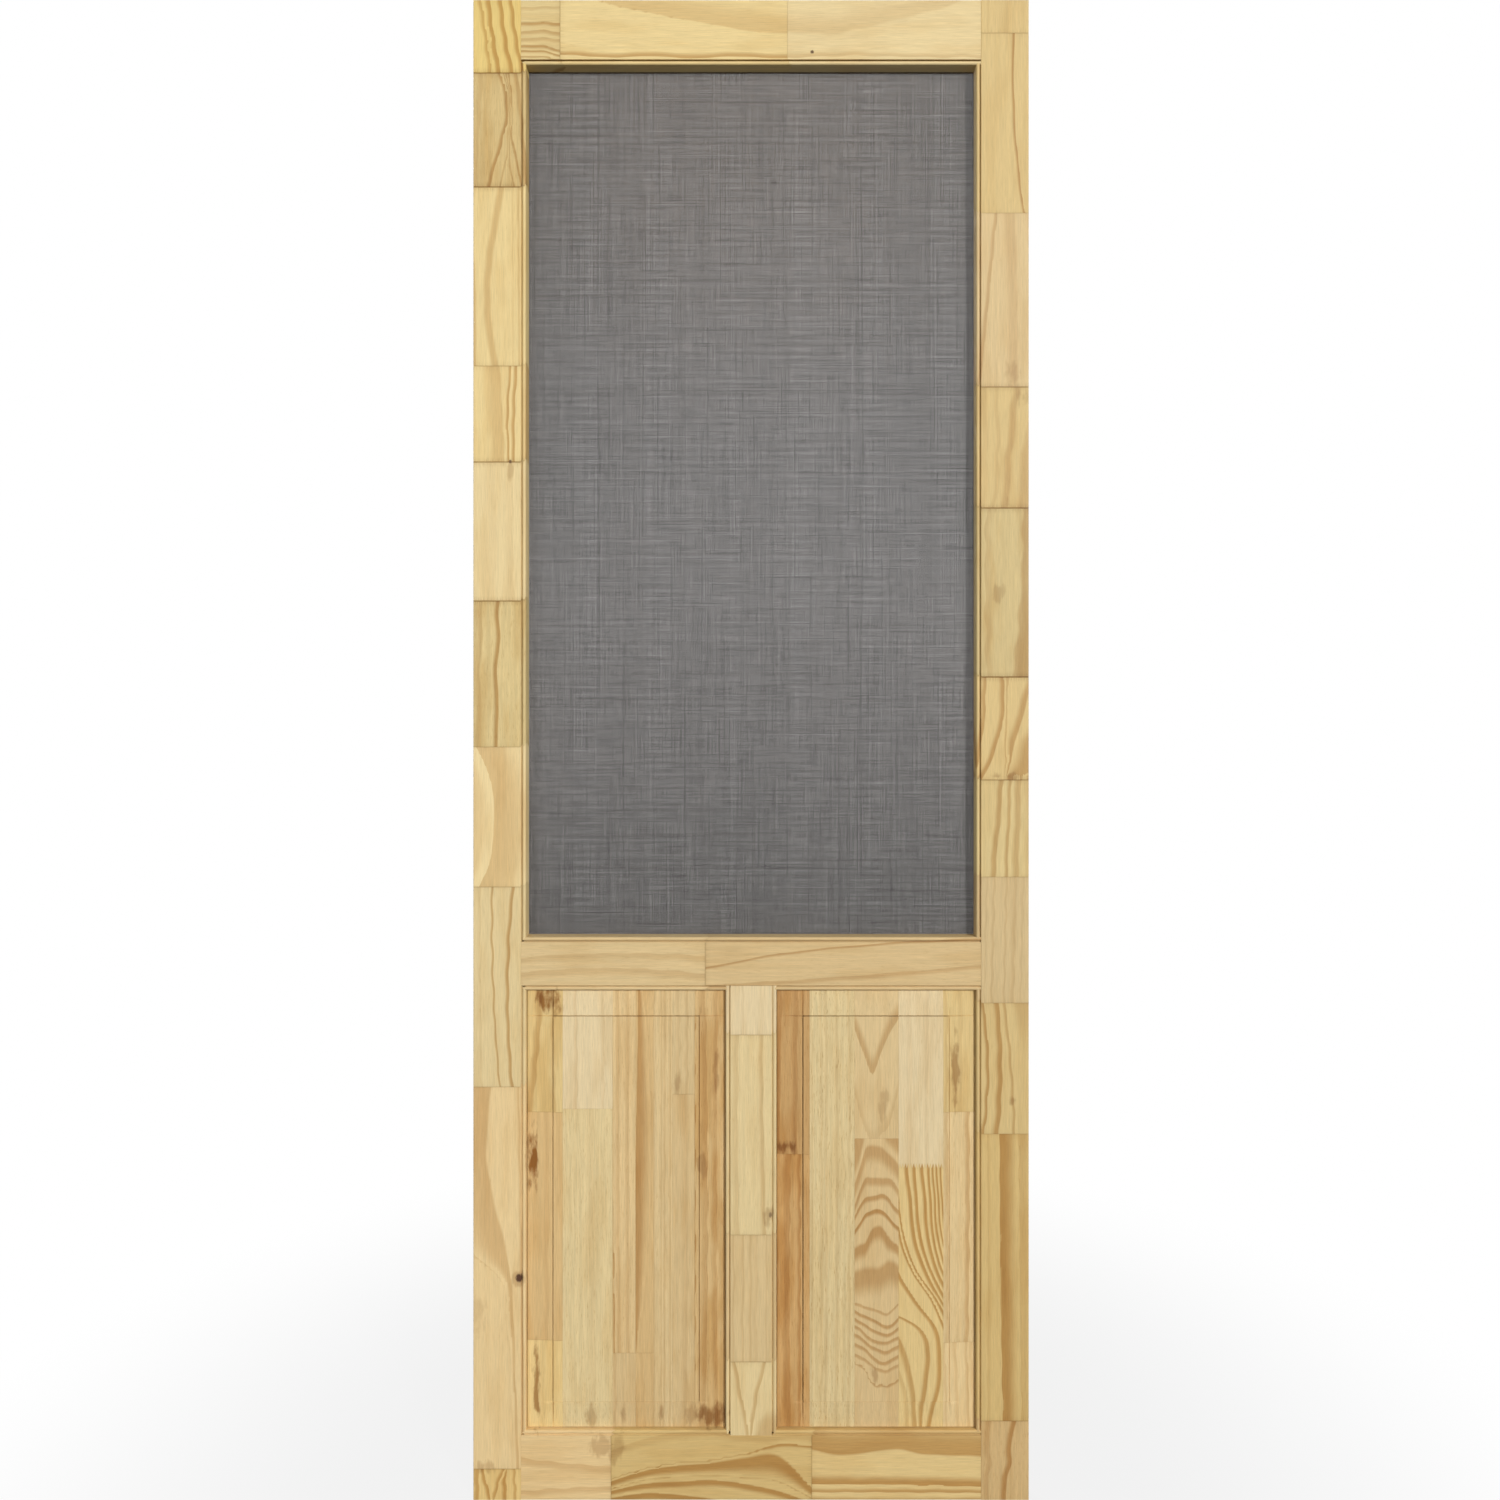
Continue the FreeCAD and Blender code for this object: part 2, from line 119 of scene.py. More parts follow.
class Edge(Enum):
    """The section of a member's long edge."""

    SQUARE = "square"
    SHOULDER = "shoulder"
    RABBET = "rabbet"


class Lip(Enum):
    """The moulded lip along an opening: over a screen, or before and behind a panel."""

    SCREEN = "screen"
    PANEL_FRONT = "panel_front"
    PANEL_BACK = "panel_back"


class Fingers(Enum):
    """Where a panel strip's finger joint shows its zigzag."""

    HIDDEN = "hidden"
    SHOWN = "shown"


@dataclass(frozen=True)
class Rod:
    """The joiner's rod: the lines that every piece is set out from."""

    front: float
    back: float
    foot: float
    head: float
    hinge: float
    latch: float
    left: float
    right: float
    muntin_left: float
    muntin_right: float
    bottom: float
    lock_low: float
    lock_high: float
    top: float
    seat: float
    screen_low: Array
    screen_high: Array

    quirk: float = 1.4 * MM
    bead: float = 2.6 * MM
    spring: float = 3.0 * MM
    rabbet: float = 12.0 * MM
    groove: float = 10.0 * MM
    arris: float = 0.4 * MM
    corner: float = 0.9 * MM
    shoulder_gap: float = 0.12 * MM
    lip_bite: float = 0.3 * MM
    panel_quirk: float = 0.4

    @classmethod
    def from_frame(cls) -> "Rod":
        """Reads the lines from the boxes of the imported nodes."""
        hinge_low, hinge_high = (np.array(c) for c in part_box("hinge_stile"))
        latch_low, latch_high = (np.array(c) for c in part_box("latch_stile"))
        lock_low, lock_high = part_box("lock_rail")
        muntin_low, muntin_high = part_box("centre_muntin")
        screen_low, screen_high = (np.array(c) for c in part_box("insect_screen"))
        return cls(
            front=hinge_low[1], back=hinge_high[1], foot=hinge_low[2], head=hinge_high[2],
            hinge=hinge_low[0], latch=latch_high[0], left=hinge_high[0], right=latch_low[0],
            muntin_left=muntin_low[0], muntin_right=muntin_high[0],
            bottom=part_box("bottom_rail")[1][2], lock_low=lock_low[2], lock_high=lock_high[2],
            top=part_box("top_rail")[0][2], seat=screen_low[1],
            screen_low=screen_low, screen_high=screen_high,
        )

    @property
    def stick(self) -> float:
        """Width of the moulding, from the face line to the sight line."""
        return self.quirk + 2.0 * self.bead

    @property
    def centre(self) -> float:
        """The door's middle line across."""
        return 0.5 * (self.hinge + self.latch)


@dataclass(frozen=True)
class Line:
    """A grain line: its places at the start, middle and end of its run, how bold and how wide it is.

    Places and widths are in mm: from the low edge of the block's face for a line that runs along the block,
    and from the block's start for one that runs across it.
    """

    start: float
    middle: float
    end: float
    bold: float = 0.5
    width: float = 5.0

    def place(self, share: Array) -> Array:
        """Gives its place at a share of its run, on the parabola through its three places."""
        bend = 2.0 * (self.start - 2.0 * self.middle + self.end)
        return self.start + share * (self.end - self.start - bend) + bend * share**2


@dataclass(frozen=True)
class Curve:
    """A grain line through any number of places at even steps of its run, else as a Line."""

    places: tuple[float, ...]
    bold: float = 0.5
    width: float = 5.0

    @property
    def middle(self) -> float:
        """Its place halfway along its run."""
        return float(self.place(np.array([0.5]))[0])

    def place(self, share: Array) -> Array:
        """Gives its place at a share of its run.

        Between two of its places it is a cubic, whose slope at each is half the rise between that place's
        neighbours.

        Args:
            share: Shares of the run, from 0 to 1.

        Returns:
            The places.
        """
        knots = np.array(self.places)
        padded = np.concatenate([2.0 * knots[:1] - knots[1:2], knots, 2.0 * knots[-1:] - knots[-2:-1]])
        spot = share.clip(0.0, 1.0) * (len(knots) - 1)
        cell = np.minimum(spot.astype(int), len(knots) - 2)
        part = spot - cell
        before, low, high, after = (padded[cell + step] for step in range(4))
        rise, leave, arrive = high - low, 0.5 * (high - before), 0.5 * (after - low)
        square = 3.0 * rise - 2.0 * leave - arrive
        return low + part * (leave + part * (square + part * (leave + arrive - 2.0 * rise)))


@dataclass(frozen=True)
class Block:
    """One block of wood between two finger joints: its end in mm, its colour and its grain.

    A block without lines of its own gets faint ones. Soft is the share of a line's width that lies on its
    sharp side and waver is how far lines wander, in mm. Patches and speck are the strengths of clouds and of
    streaks and flecks, and seam is how dark the joint at the block's end is.
    """

    end: float
    tone: Tone
    light: float = 1.0
    lines: tuple[Union[Line, Curve], ...] = ()
    run: Run = Run.ALONG
    fade: Fade = Fade.BEFORE
    soft: float = 0.2
    waver: float = 0.9
    patches: float = 0.25
    speck: float = 0.3
    seam: float = 0.1
    fingers: Fingers = Fingers.HIDDEN


@dataclass(frozen=True)
class Mark:
    """A stain on the front: the place of its middle and its half sizes in mm, and how dark it is."""

    across: float
    up: float
    half_width: float
    half_height: float
    strength: float


MARKS = (
    Mark(102, 684, 15, 16, 0.95),
    Mark(80, 462, 6, 50, 1.00),
    Mark(86, 160, 5, 52, 0.80),
    Mark(329, 113, 19, 14, 0.80),
    Mark(550, 170, 4, 15, 0.45),
    Mark(162, 111, 11, 14, 0.40),
    Mark(206, 113, 4, 15, 0.40),
    Mark(259, 113, 4, 15, 0.45),
    Mark(297, 114, 6, 15, 0.35),
    Mark(280, 572, 5, 17, 0.35),
    Mark(333, 589, 4, 28, 0.40),
    Mark(314, 457, 8, 14, 0.40),
    Mark(430, 482, 12, 10, 0.85),
    Mark(663, 584, 6, 48, 0.6),
    Mark(564, 541, 6, 22, 0.30),
    Mark(172, 72, 18, 13, 0.35),
    Mark(18, 46, 11, 9, 0.35),
    Mark(196, 68, 9, 15, 0.35),
    Mark(4, 251, 13, 24, 0.20),
    Mark(52, 1408, 5, 12, 0.30),
    Mark(741, 1547, 10, 14, 0.30),
    Mark(755, 1512, 7, 10, 0.30),
    Mark(732, 1368, 3, 6, 0.30),
    Mark(720, 1245, 7, 12, 0.30),
    Mark(717, 994, 9, 4, 0.45),
    Mark(738, 992, 9, 5, 0.40),
    Mark(741, 547, 5, 6, 0.45),
    Mark(405, 392, 6, 14, 0.45),
    Mark(62, 305, 9, 10, 0.40),
)
NO_MARK = 9.0
FAINT_COUNT = 16
FAINT_GAPS = (6.0, 18.0)
FAINT_BEFORE = 10.0
FAINT_PAST = 15.0
FAINT_LEAN = 4.0
FAINT_BOLDS = (0.08, 0.38)
FAINT_WIDTHS = (3.0, 8.0)
SWAY_LEANS = (0.004, 0.020)
SWAY_WAVES = np.array([6.0, 3.4, 1.9, 1.05])
SWAY_WEIGHTS = np.array([0.02, 0.07, 0.30, 0.80])


def nearest_marks(points: Array) -> Array:
    """Measures each point against the mark nearest to it.

    The measure is the distance from the mark's middle, with the way across and the way up each taken over
    the mark's half size. Points behind the middle of the door have none.

    Args:
        points: Points in the door, one a row.

    Returns:
        The measure and the mark's strength, one pair a row.
    """
    middles = np.array([(m.across, m.up) for m in MARKS]) * MM
    halves = np.array([(m.half_width, m.half_height) for m in MARKS]) * MM
    strengths = np.array([m.strength for m in MARKS])
    measures = np.linalg.norm((points[:, None, ::2] - middles) / halves, axis=2)
    nearest = measures.argmin(axis=1)
    measure = np.where(points[:, 1] < 0.0, measures.min(axis=1).clip(max=NO_MARK), NO_MARK)
    return np.stack([measure, strengths[nearest]], axis=1)


@dataclass(frozen=True)
class Wood:
    """A block at its place in the door: the low corner of its face, its breadth and its length in mm.

    Its joints show less where it lies nearer to the middle of the door's thickness than its face.
    """

    block: Block
    axis: Axis
    corner: Array
    breadth: float
    length: float
    order: int
    joint_before: float = 0.0
    face: float = 0.0
    slant: float = 0.35
    edge_glue: float = 0.3
    log_step: float = 613.0
    faint_seed: int = 4100
    sway_seed: int = 5200
    outer_gap: float = 30.0
    least_gap: float = 0.5
    least_late: float = 0.03

    def place(self, points: Array) -> Array:
        """Gives points' places in the block, in mm: across its face, into the wood and along it."""
        run = (points - self.corner) / MM
        return run if self.axis is Axis.UPRIGHT else run[:, ::-1]

    def lines(self) -> Sequence[Union[Line, Curve]]:
        """Gives the block's lines, drawn faint and uneven by its order where it has none of its own."""
        if self.block.lines:
            return self.block.lines
        rng = np.random.default_rng(self.faint_seed + self.order)
        places = np.cumsum(rng.uniform(*FAINT_GAPS, FAINT_COUNT)) - FAINT_BEFORE
        lean = rng.uniform(-FAINT_LEAN, FAINT_LEAN)
        bolds = rng.uniform(*FAINT_BOLDS, FAINT_COUNT)
        widths = rng.uniform(*FAINT_WIDTHS, FAINT_COUNT)
        return [
            Line(place - lean, place, place + lean, bold, width)
            for place, bold, width in zip(places, bolds, widths)
            if place < self.breadth + FAINT_PAST
        ]

    def sway(self, share: Array, aside: Array) -> Array:
        """Lets the lines wander: four sines of the share of the run, each moved on by the place aside."""
        rng = np.random.default_rng(self.sway_seed + self.order)
        leans = rng.uniform(*SWAY_LEANS, len(SWAY_WAVES))
        starts = rng.uniform(0.0, 2.0 * math.pi, len(SWAY_WAVES))
        turns = share[:, None] * SWAY_WAVES + aside[:, None] * leans
        return (np.sin(2.0 * math.pi * turns + starts) * SWAY_WEIGHTS).sum(axis=1)

    def grain(self, place: Array) -> tuple[Array, Array]:
        """Works out the grain at points of the block.

        The count of lines passed goes up by one from each line to the next, in proportion to the distance
        between the two. A point has the boldness of the line before it, and the share of late wood is that
        line's width over the distance. Lines lie a little further across as they go into the wood.

        Args:
            place: Places in the block, one a row.

        Returns:
            The count, the boldness and the share of late wood, one row a point; and the lines to a mm.
        """
        across, deep, along = place.T
        level, aside, share = across, along, along / self.length
        if self.block.run is Run.CROSS:
            level, aside, share = along, across, across / self.breadth
        side = self.block.fade.value
        level = side * (level + self.slant * deep + self.block.waver * self.sway(share, aside))
        lines = sorted(self.lines(), key=lambda line: side * line.middle)
        places = np.stack([side * line.place(share) for line in lines], axis=1)
        places = np.maximum.accumulate(places, axis=1)
        outside = np.minimum(places[:, :1], level.min()) - self.outer_gap
        before = np.concatenate([outside, places[:, :-1]], axis=1)
        gap = np.maximum(places - before, self.least_gap)
        passed = np.clip((level[:, None] - before) / gap, 0.0, 1.0).sum(axis=1)
        passed = passed + np.clip((level - places[:, -1]) / self.outer_gap, 0.0, 0.5)
        following = np.minimum((level[:, None] >= places).sum(axis=1), len(lines) - 1)
        pace = 1.0 / gap[np.arange(len(level)), following]
        bold = np.array([line.bold for line in lines])[following]
        width = np.array([line.width for line in lines])[following]
        late = np.clip(width * pace, self.least_late, 1.0)
        return np.stack([passed, bold, late], axis=1), pace


@dataclass
class Shell:
    """A closed surface: its points, its faces and the values that its material reads."""

    points: Array
    faces: Faces
    values: dict[str, Array] = field(default_factory=dict)

    @classmethod
    def swept(cls, rings: Array) -> "Shell":
        """Carries a closed profile along a path: ring after ring joined by quads, with a face at each end.

        Args:
            rings: Points by ring, by place in the profile, by axis.

        Returns:
            The closed shell.
        """
        count, around = rings.shape[:2]
        number = np.arange(count * around).reshape(count, around)
        after = np.roll(number, -1, axis=1)
        quads = np.stack([number[:-1], after[:-1], after[1:], number[1:]], axis=-1).reshape(-1, 4)
        faces = quads.tolist()
        faces.append(number[0, ::-1].tolist())
        faces.append(number[-1].tolist())
        return cls(rings.reshape(-1, 3), faces)

    @classmethod
    def swept_many(cls, rings: Array) -> "Shell":
        """Does what swept does for a whole stack of equal paths in one go.

        Args:
            rings: Points by path, by ring, by place in the profile, by axis.

        Returns:
            One shell that holds all the closed tubes.
        """
        paths, count, around = rings.shape[:3]
        number = np.arange(paths * count * around).reshape(paths, count, around)
        after = np.roll(number, -1, axis=2)
        quads = np.stack([number[:, :-1], after[:, :-1], after[:, 1:], number[:, 1:]], axis=-1)
        faces = quads.reshape(-1, 4).tolist()
        faces.extend(number[:, 0, ::-1].tolist())
        faces.extend(number[:, -1].tolist())
        return cls(rings.reshape(-1, 3), faces)

    @staticmethod
    def filled(rings: Array, spans: Array) -> tuple[Array, Array]:
        """Fills in rings on straight lines between each ring and the next, so that none is far apart.

        Args:
            rings: Points by ring, by place in the profile, by axis.
            spans: Where the points lie along their block, by ring and place.

        Returns:
            The rings and the spans with those between them.
        """
        more_rings, more_spans = [], []
        for ring, after, span, span_after in zip(rings, rings[1:], spans, spans[1:]):
            count = max(1, int(np.abs(after - ring).max() / RING_STEP))
            part = np.arange(count) / count
            more_rings.append(ring + part[:, None, None] * (after - ring))
            more_spans.append(span + part[:, None] * (span_after - span))
        return np.concatenate(more_rings + [rings[-1:]]), np.concatenate(more_spans + [spans[-1:]])

    def of_wood(self, wood: Wood, span: Array, nook: Optional[Array] = None) -> "Shell":
        """Gives the shell the values that the pine finish reads from a block's wood.

        Args:
            wood: The block's wood.
            span: Where each point lies along the block, from -1 at its start to 1 at its end.
            nook: How much painted shade each point gets in a quirk, a kerf or at a panel's edge, from 0 to 1.

        Returns:
            The shell itself.
        """
        count = len(self.points)
        block = wood.block
        place = wood.place(self.points)
        grain, pace = wood.grain(place)
        joint = np.interp(span, [-1.0, 1.0], [wood.joint_before, block.seam])
        joint = joint * np.where(np.abs(self.points[:, 1]) >= wood.face, 1.0, wood.edge_glue)
        colour = np.tile(np.array(block.tone.value) * block.light, (count, 1))
        self.values["log_place"] = place + np.array([0.0, 0.0, wood.log_step * wood.order])
        self.values["grain"] = grain
        self.values["habit"] = np.tile([block.soft, block.patches, block.speck], (count, 1))
        self.values["span"] = np.stack([span, np.full(count, 0.5 * wood.length), joint], axis=1)
        self.values["tone"] = np.concatenate([colour, pace[:, None]], axis=1)
        # The stain value's third place is painted shade in quirks, kerfs and at the panels' edges, not a
        # stain.
        painted_shade = np.zeros(count) if nook is None else nook
        self.values["stain"] = np.concatenate([nearest_marks(self.points), painted_shade[:, None]], axis=1)
        return self


VALUE_TYPES = {1: ("FLOAT", "value"), 3: ("FLOAT_VECTOR", "vector"), 4: ("FLOAT_COLOR", "color")}
MERGE = 1e-6
RING_STEP = 5.0 * MM
FACE_STEP = 3.3 * MM
SHARP = math.radians(38.0)
POCKET_SHARE = 0.8
POCKET_DEEP = 2.0 * MM
# Painted shade in a lip's quirk: how dark its first points are made, where shade falls in the groove.
QUIRK_PAINTED_SHADE = (1.0, 1.0, 0.8, 0.35)
# Painted shade in the quirks of the lips round the panels.
PANEL_SHADE = 0.15
PANEL_LIPS = (Lip.PANEL_FRONT, Lip.PANEL_BACK)


def make_piece(name: str, shells: Sequence[Shell], finish: bpy.types.Material,
               clean: bool = True) -> bpy.types.Object:
    """Makes one object from closed shells, with its place in its mesh.

    Args:
        name: The piece's name.
        shells: Its shells, all with the same values.
        finish: Its material.
        clean: Whether doubled points within a shell are merged and folded faces taken out.

    Returns:
        The piece, riding on the door.
    """
    starts = np.cumsum([0] + [len(s.points) for s in shells[:-1]])
    faces = [[int(start) + i for i in f] for start, s in zip(starts, shells) for f in s.faces]
    mesh = bpy.data.meshes.new(name)
    mesh.from_pydata(np.concatenate([s.points for s in shells]).tolist(), [], faces)
    for key in shells[0].values:
        values = np.concatenate([s.values[key] for s in shells]).astype(np.float32)
        width = 1 if values.ndim == 1 else values.shape[1]
        kind, slot = VALUE_TYPES[width]
        mesh.attributes.new(key, kind, "POINT").data.foreach_set(slot, values.ravel())
    tidy = bmesh.new()
    tidy.from_mesh(mesh)
    if clean:
        bmesh.ops.remove_doubles(tidy, verts=tidy.verts, dist=MERGE)
        bmesh.ops.dissolve_degenerate(tidy, edges=tidy.edges, dist=MERGE)
    bmesh.ops.recalc_face_normals(tidy, faces=tidy.faces)
    tidy.to_mesh(mesh)
    tidy.free()
    mesh.shade_smooth()
    mesh.set_sharp_from_angle(angle=SHARP)
    mesh.materials.append(finish)
    piece = bpy.data.objects.new(name, mesh)
    bpy.context.scene.collection.objects.link(piece)
    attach(piece, "root")
    mesh.calc_loop_triangles()
    LOG.info("%s: %d triangles", name, len(mesh.loop_triangles))
    return piece


@dataclass(frozen=True)
class Fuzz:
    """Soft noise: its features to a unit across and along, and how many finer layers it has."""

    across: float
    along: float
    detail: float = 2.0


Colour = tuple[float, float, float, float]
Step = tuple[float, ...]


class Bench:
    """A hand for laying out a material's nodes."""

    def __init__(self, name: str) -> None:
        """Starts a material with its shader and nothing else."""
        self.material = bpy.data.materials.new(name)
        self.material.use_nodes = True
        self.tree = self.material.node_tree
        self.tree.nodes.clear()
        self.output = self.add("ShaderNodeOutputMaterial")

    def add(self, kind: str, **settings: object) -> bpy.types.Node:
        """Adds a node and sets its properties."""
        node = self.tree.nodes.new(kind)
        for key, value in settings.items():
            setattr(node, key, value)
        return node

    def feed(self, socket: Socket, value: Feed) -> None:
        """Links a socket, or sets it to a constant."""
        if isinstance(value, bpy.types.NodeSocket):
            self.tree.links.new(value, socket)
        else:
            socket.default_value = value

    def math(self, operation: str, first: Feed, second: Feed = 0.0, third: Feed = 0.0) -> Socket:
        """Works on numbers.

        Args:
            operation: Blender's name of the operation.
            first: First number.
            second: Second number, where there is one.
            third: Third number, where there is one.

        Returns:
            The result's socket.
        """
        node = self.add("ShaderNodeMath", operation=operation)
        for socket, value in zip(node.inputs, (first, second, third)):
            self.feed(socket, value)
        return node.outputs[0]

    def vector(self, operation: str, first: Feed, second: Feed = (0.0, 0.0, 0.0),
               out: str = "Vector") -> Socket:
        """Works on vectors.

        Args:
            operation: Blender's name of the operation.
            first: First vector.
            second: Second vector, or the scale of a SCALE.
            out: Name of the output, Vector or Value.

        Returns:
            The result's socket.
        """
        node = self.add("ShaderNodeVectorMath", operation=operation)
        self.feed(node.inputs[0], first)
        self.feed(node.inputs["Scale"] if operation == "SCALE" else node.inputs[1], second)
        return node.outputs[out]

    def read(self, name: str, out: str = "Vector") -> Socket:
        """Reads one of the piece's own values."""
        return self.add("ShaderNodeAttribute", attribute_name=name).outputs[out]

    def place(self) -> Socket:
        """Gives the point's place in the door."""
        return self.add("ShaderNodeTexCoord").outputs["Object"]

    def split(self, vector: Socket) -> Sequence[Socket]:
        """Takes a vector apart."""
        node = self.add("ShaderNodeSeparateXYZ")
        self.feed(node.inputs[0], vector)
        return node.outputs

    def noise(self, vector: Socket, fuzz: Fuzz, out: str = "Fac") -> Socket:
        """Lays soft noise, drawn out along the third axis.

        Args:
            vector: Where the noise is read.
            fuzz: The kind of noise.
            out: Fac for a number round a half, or Color for three of them.

        Returns:
            The noise.
        """
        node = self.add("ShaderNodeTexNoise")
        size = (fuzz.across, fuzz.across, fuzz.along)
        self.feed(node.inputs["Vector"], self.vector("MULTIPLY", vector, size))
        self.feed(node.inputs["Scale"], 1.0)
        self.feed(node.inputs["Detail"], fuzz.detail)
        return node.outputs[out]

    def step(self, value: Feed, start: Feed, end: Feed, low: float = 0.0, high: float = 1.0,
             kind: str = "SMOOTHSTEP") -> Socket:
        """Goes smoothly from low at start to high at end, and stays there."""
        node = self.add("ShaderNodeMapRange", interpolation_type=kind)
        for socket, number in zip(node.inputs, (value, start, end, low, high)):
            self.feed(socket, number)
        return node.outputs[0]

    def mix(self, factor: Feed, first: Feed, second: Feed, blend: str = "MIX") -> Socket:
        """Mixes two colours.

        Args:
            factor: How much of the second colour.
            first: First colour.
            second: Second colour.
            blend: Blender's name of the way of mixing.

        Returns:
            The mixed colour.
        """
        node = self.add("ShaderNodeMix", data_type="RGBA", blend_type=blend, clamp_factor=True)
        self.feed(node.inputs[0], factor)
        self.feed(node.inputs[6], first)
        self.feed(node.inputs[7], second)
        return node.outputs[2]

    def tint(self, factor: Feed, colour: Socket, tint: Feed) -> Socket:
        """Multiplies a colour by a tint, as far as the factor says."""
        return self.mix(factor, colour, self.mix(1.0, colour, tint, "MULTIPLY"))

    def bump(self, strength: float, distance: float, height: Socket) -> Socket:
        """Gives a normal that follows a height."""
        node = self.add("ShaderNodeBump")
        for name, value in (("Strength", strength), ("Distance", distance), ("Height", height)):
            self.feed(node.inputs[name], value)
        return node.outputs[0]

    def close(self, shader: Socket) -> bpy.types.Material:
        """Ends the material with its shader."""
        self.tree.links.new(shader, self.output.inputs["Surface"])
        return self.material


@dataclass(frozen=True)
class Knot(Mark):
    """A small dark knot in the front, placed and sized as a mark is."""


KNOTS = (
    Knot(465.0, 1986.0, 2.4, 2.4, 0.9),
    Knot(63.0, 304.5, 5.2, 6.0, 1.0),
    Knot(51.0, 1424.5, 2.4, 2.8, 0.8),
    Knot(407.5, 391.0, 2.2, 4.0, 0.6),
)


@dataclass(frozen=True)
class PineFinish:
    """Bare planed pine: grain lines, fibres, pitch flecks, clouds, glue lines, stains and knots, with painted
    shade in quirks and kerfs.
    """

    name: str = "bare_pine"
    late_tint: Colour = (0.60, 0.42, 0.23, 1.0)
    patch_tint: Colour = (0.80, 0.66, 0.46, 1.0)
    seam_tint: Colour = (0.42, 0.32, 0.18, 1.0)
    stain_tint: Colour = (0.36, 0.20, 0.07, 1.0)
    # Painted shade tint for quirks, kerfs and the panels' edges.
    nook_shade_tint: Colour = (0.20, 0.12, 0.03, 1.0)
    knot_colour: Colour = (0.085, 0.036, 0.016, 1.0)
    depth: float = 0.86
    shiver: float = 1.3
    specular: float = 0.32
    relief: float = 0.16 * MM
    bumps: float = 0.45
    rough: float = 0.55
    stain_fuzz: Fuzz = Fuzz(110.0, 40.0, 4.0)
    stain_ragged: Step = (0.25, 0.75, -0.6, 0.6)
    stain_step: Step = (1.35, 0.45)
    knot_fuzz: Fuzz = Fuzz(420.0, 300.0)
    knot_loose: float = 3.5 * MM
    knot_step: Step = (1.25, 0.6)
    front_step: Step = (2.0 * MM, -2.0 * MM)
    fibre_fuzz: Fuzz = Fuzz(1.3, 0.035, 3.0)
    fibre_step: Step = (0.28, 0.72, 0.90, 1.06)
    fibre_shake: float = 0.45
    brisk_fuzz: Fuzz = Fuzz(0.10, 0.012)
    band_full: float = 0.8
    patch_fuzz: Fuzz = Fuzz(0.040, 0.008, 3.0)
    patch_step: Step = (0.44, 0.66)
    streak_fuzz: Fuzz = Fuzz(0.22, 0.006, 3.0)
    streak_step: Step = (0.32, 0.68, -0.5, 0.5)
    streak_gain: float = 0.10
    streak_least: float = 0.03
    thread_fuzz: Fuzz = Fuzz(2.2, 0.07)
    fleck_step: Step = (0.60, 0.72)
    soak_reach: float = 9.0
    soak_step: Step = (0.35, 0.65, 0.0, 0.5)
    seam_step: Step = (1.6, 0.4)

    def stain(self, bench: Bench, measure: Socket, strength: Socket) -> Socket:
        """Lays the stains: solid near a mark's middle, gone past its half sizes, and ragged edged."""
        ragged = bench.noise(bench.place(), self.stain_fuzz)
        measure = bench.math("ADD", measure, bench.step(ragged, *self.stain_ragged))
        return bench.math("MULTIPLY", bench.step(measure, *self.stain_step), strength)

    def knots(self, bench: Bench) -> Socket:
        """Lays the knots: ragged ovals, solid inside and faded out just past their half sizes."""
        place = bench.place()
        ragged = bench.vector("SUBTRACT", bench.noise(place, self.knot_fuzz, "Color"), (0.5, 0.5, 0.5))
        loose = bench.vector("ADD", place, bench.vector("SCALE", ragged, self.knot_loose))
        dark: Feed = 0.0
        for knot in KNOTS:
            away = bench.vector("SUBTRACT", loose, (knot.across * MM, 0.0, knot.up * MM))
            size = (1.0 / (knot.half_width * MM), 0.0, 1.0 / (knot.half_height * MM))
            measure = bench.vector("LENGTH", bench.vector("MULTIPLY", away, size), out="Value")
            dark = bench.math("MAXIMUM", dark, bench.step(measure, *self.knot_step, 0.0, knot.strength))
        front = bench.step(bench.split(place)[1], *self.front_step)
        return bench.math("MULTIPLY", dark, front)

    def rings(self, bench: Bench, straight: Socket, fibre: Socket, pace: Socket, soft: Socket) -> Socket:
        """Gives how far the wood is late wood.

        The count of lines, shaken a little by noise, is taken to its fraction. Late wood starts where the
        fraction comes within its share of one, gets darkest at the soft part of that share, and then drops.

        Args:
            bench: The material's bench.
            straight: Places in the log.
            fibre: Fine noise along the log.
            pace: Lines to a mm.
            soft: The share of a line's width on its sharp side.

        Returns:
            The late wood, from 0 to 1.
        """
        passed, bold, late = bench.split(bench.read("grain"))
        brisk = bench.math("SUBTRACT", bench.noise(straight, self.brisk_fuzz), 0.5)
        shake = bench.math("MULTIPLY_ADD", fibre, self.fibre_shake, brisk)
        shake = bench.math("MULTIPLY", shake, self.shiver)
        phase = bench.math("FRACT", bench.math("MULTIPLY_ADD", shake, pace, passed))
        start = bench.math("SUBTRACT", 1.0, late)
        crest = bench.math("SUBTRACT", 1.0, bench.math("MULTIPLY", late, soft))
        rise = bench.step(phase, start, crest, kind="LINEAR")
        drop = bench.step(phase, 1.0, crest)
        band = bench.step(bench.math("MULTIPLY", rise, drop), 0.0, self.band_full)
        return bench.math("MULTIPLY", band, bench.math("MULTIPLY", bold, self.depth))

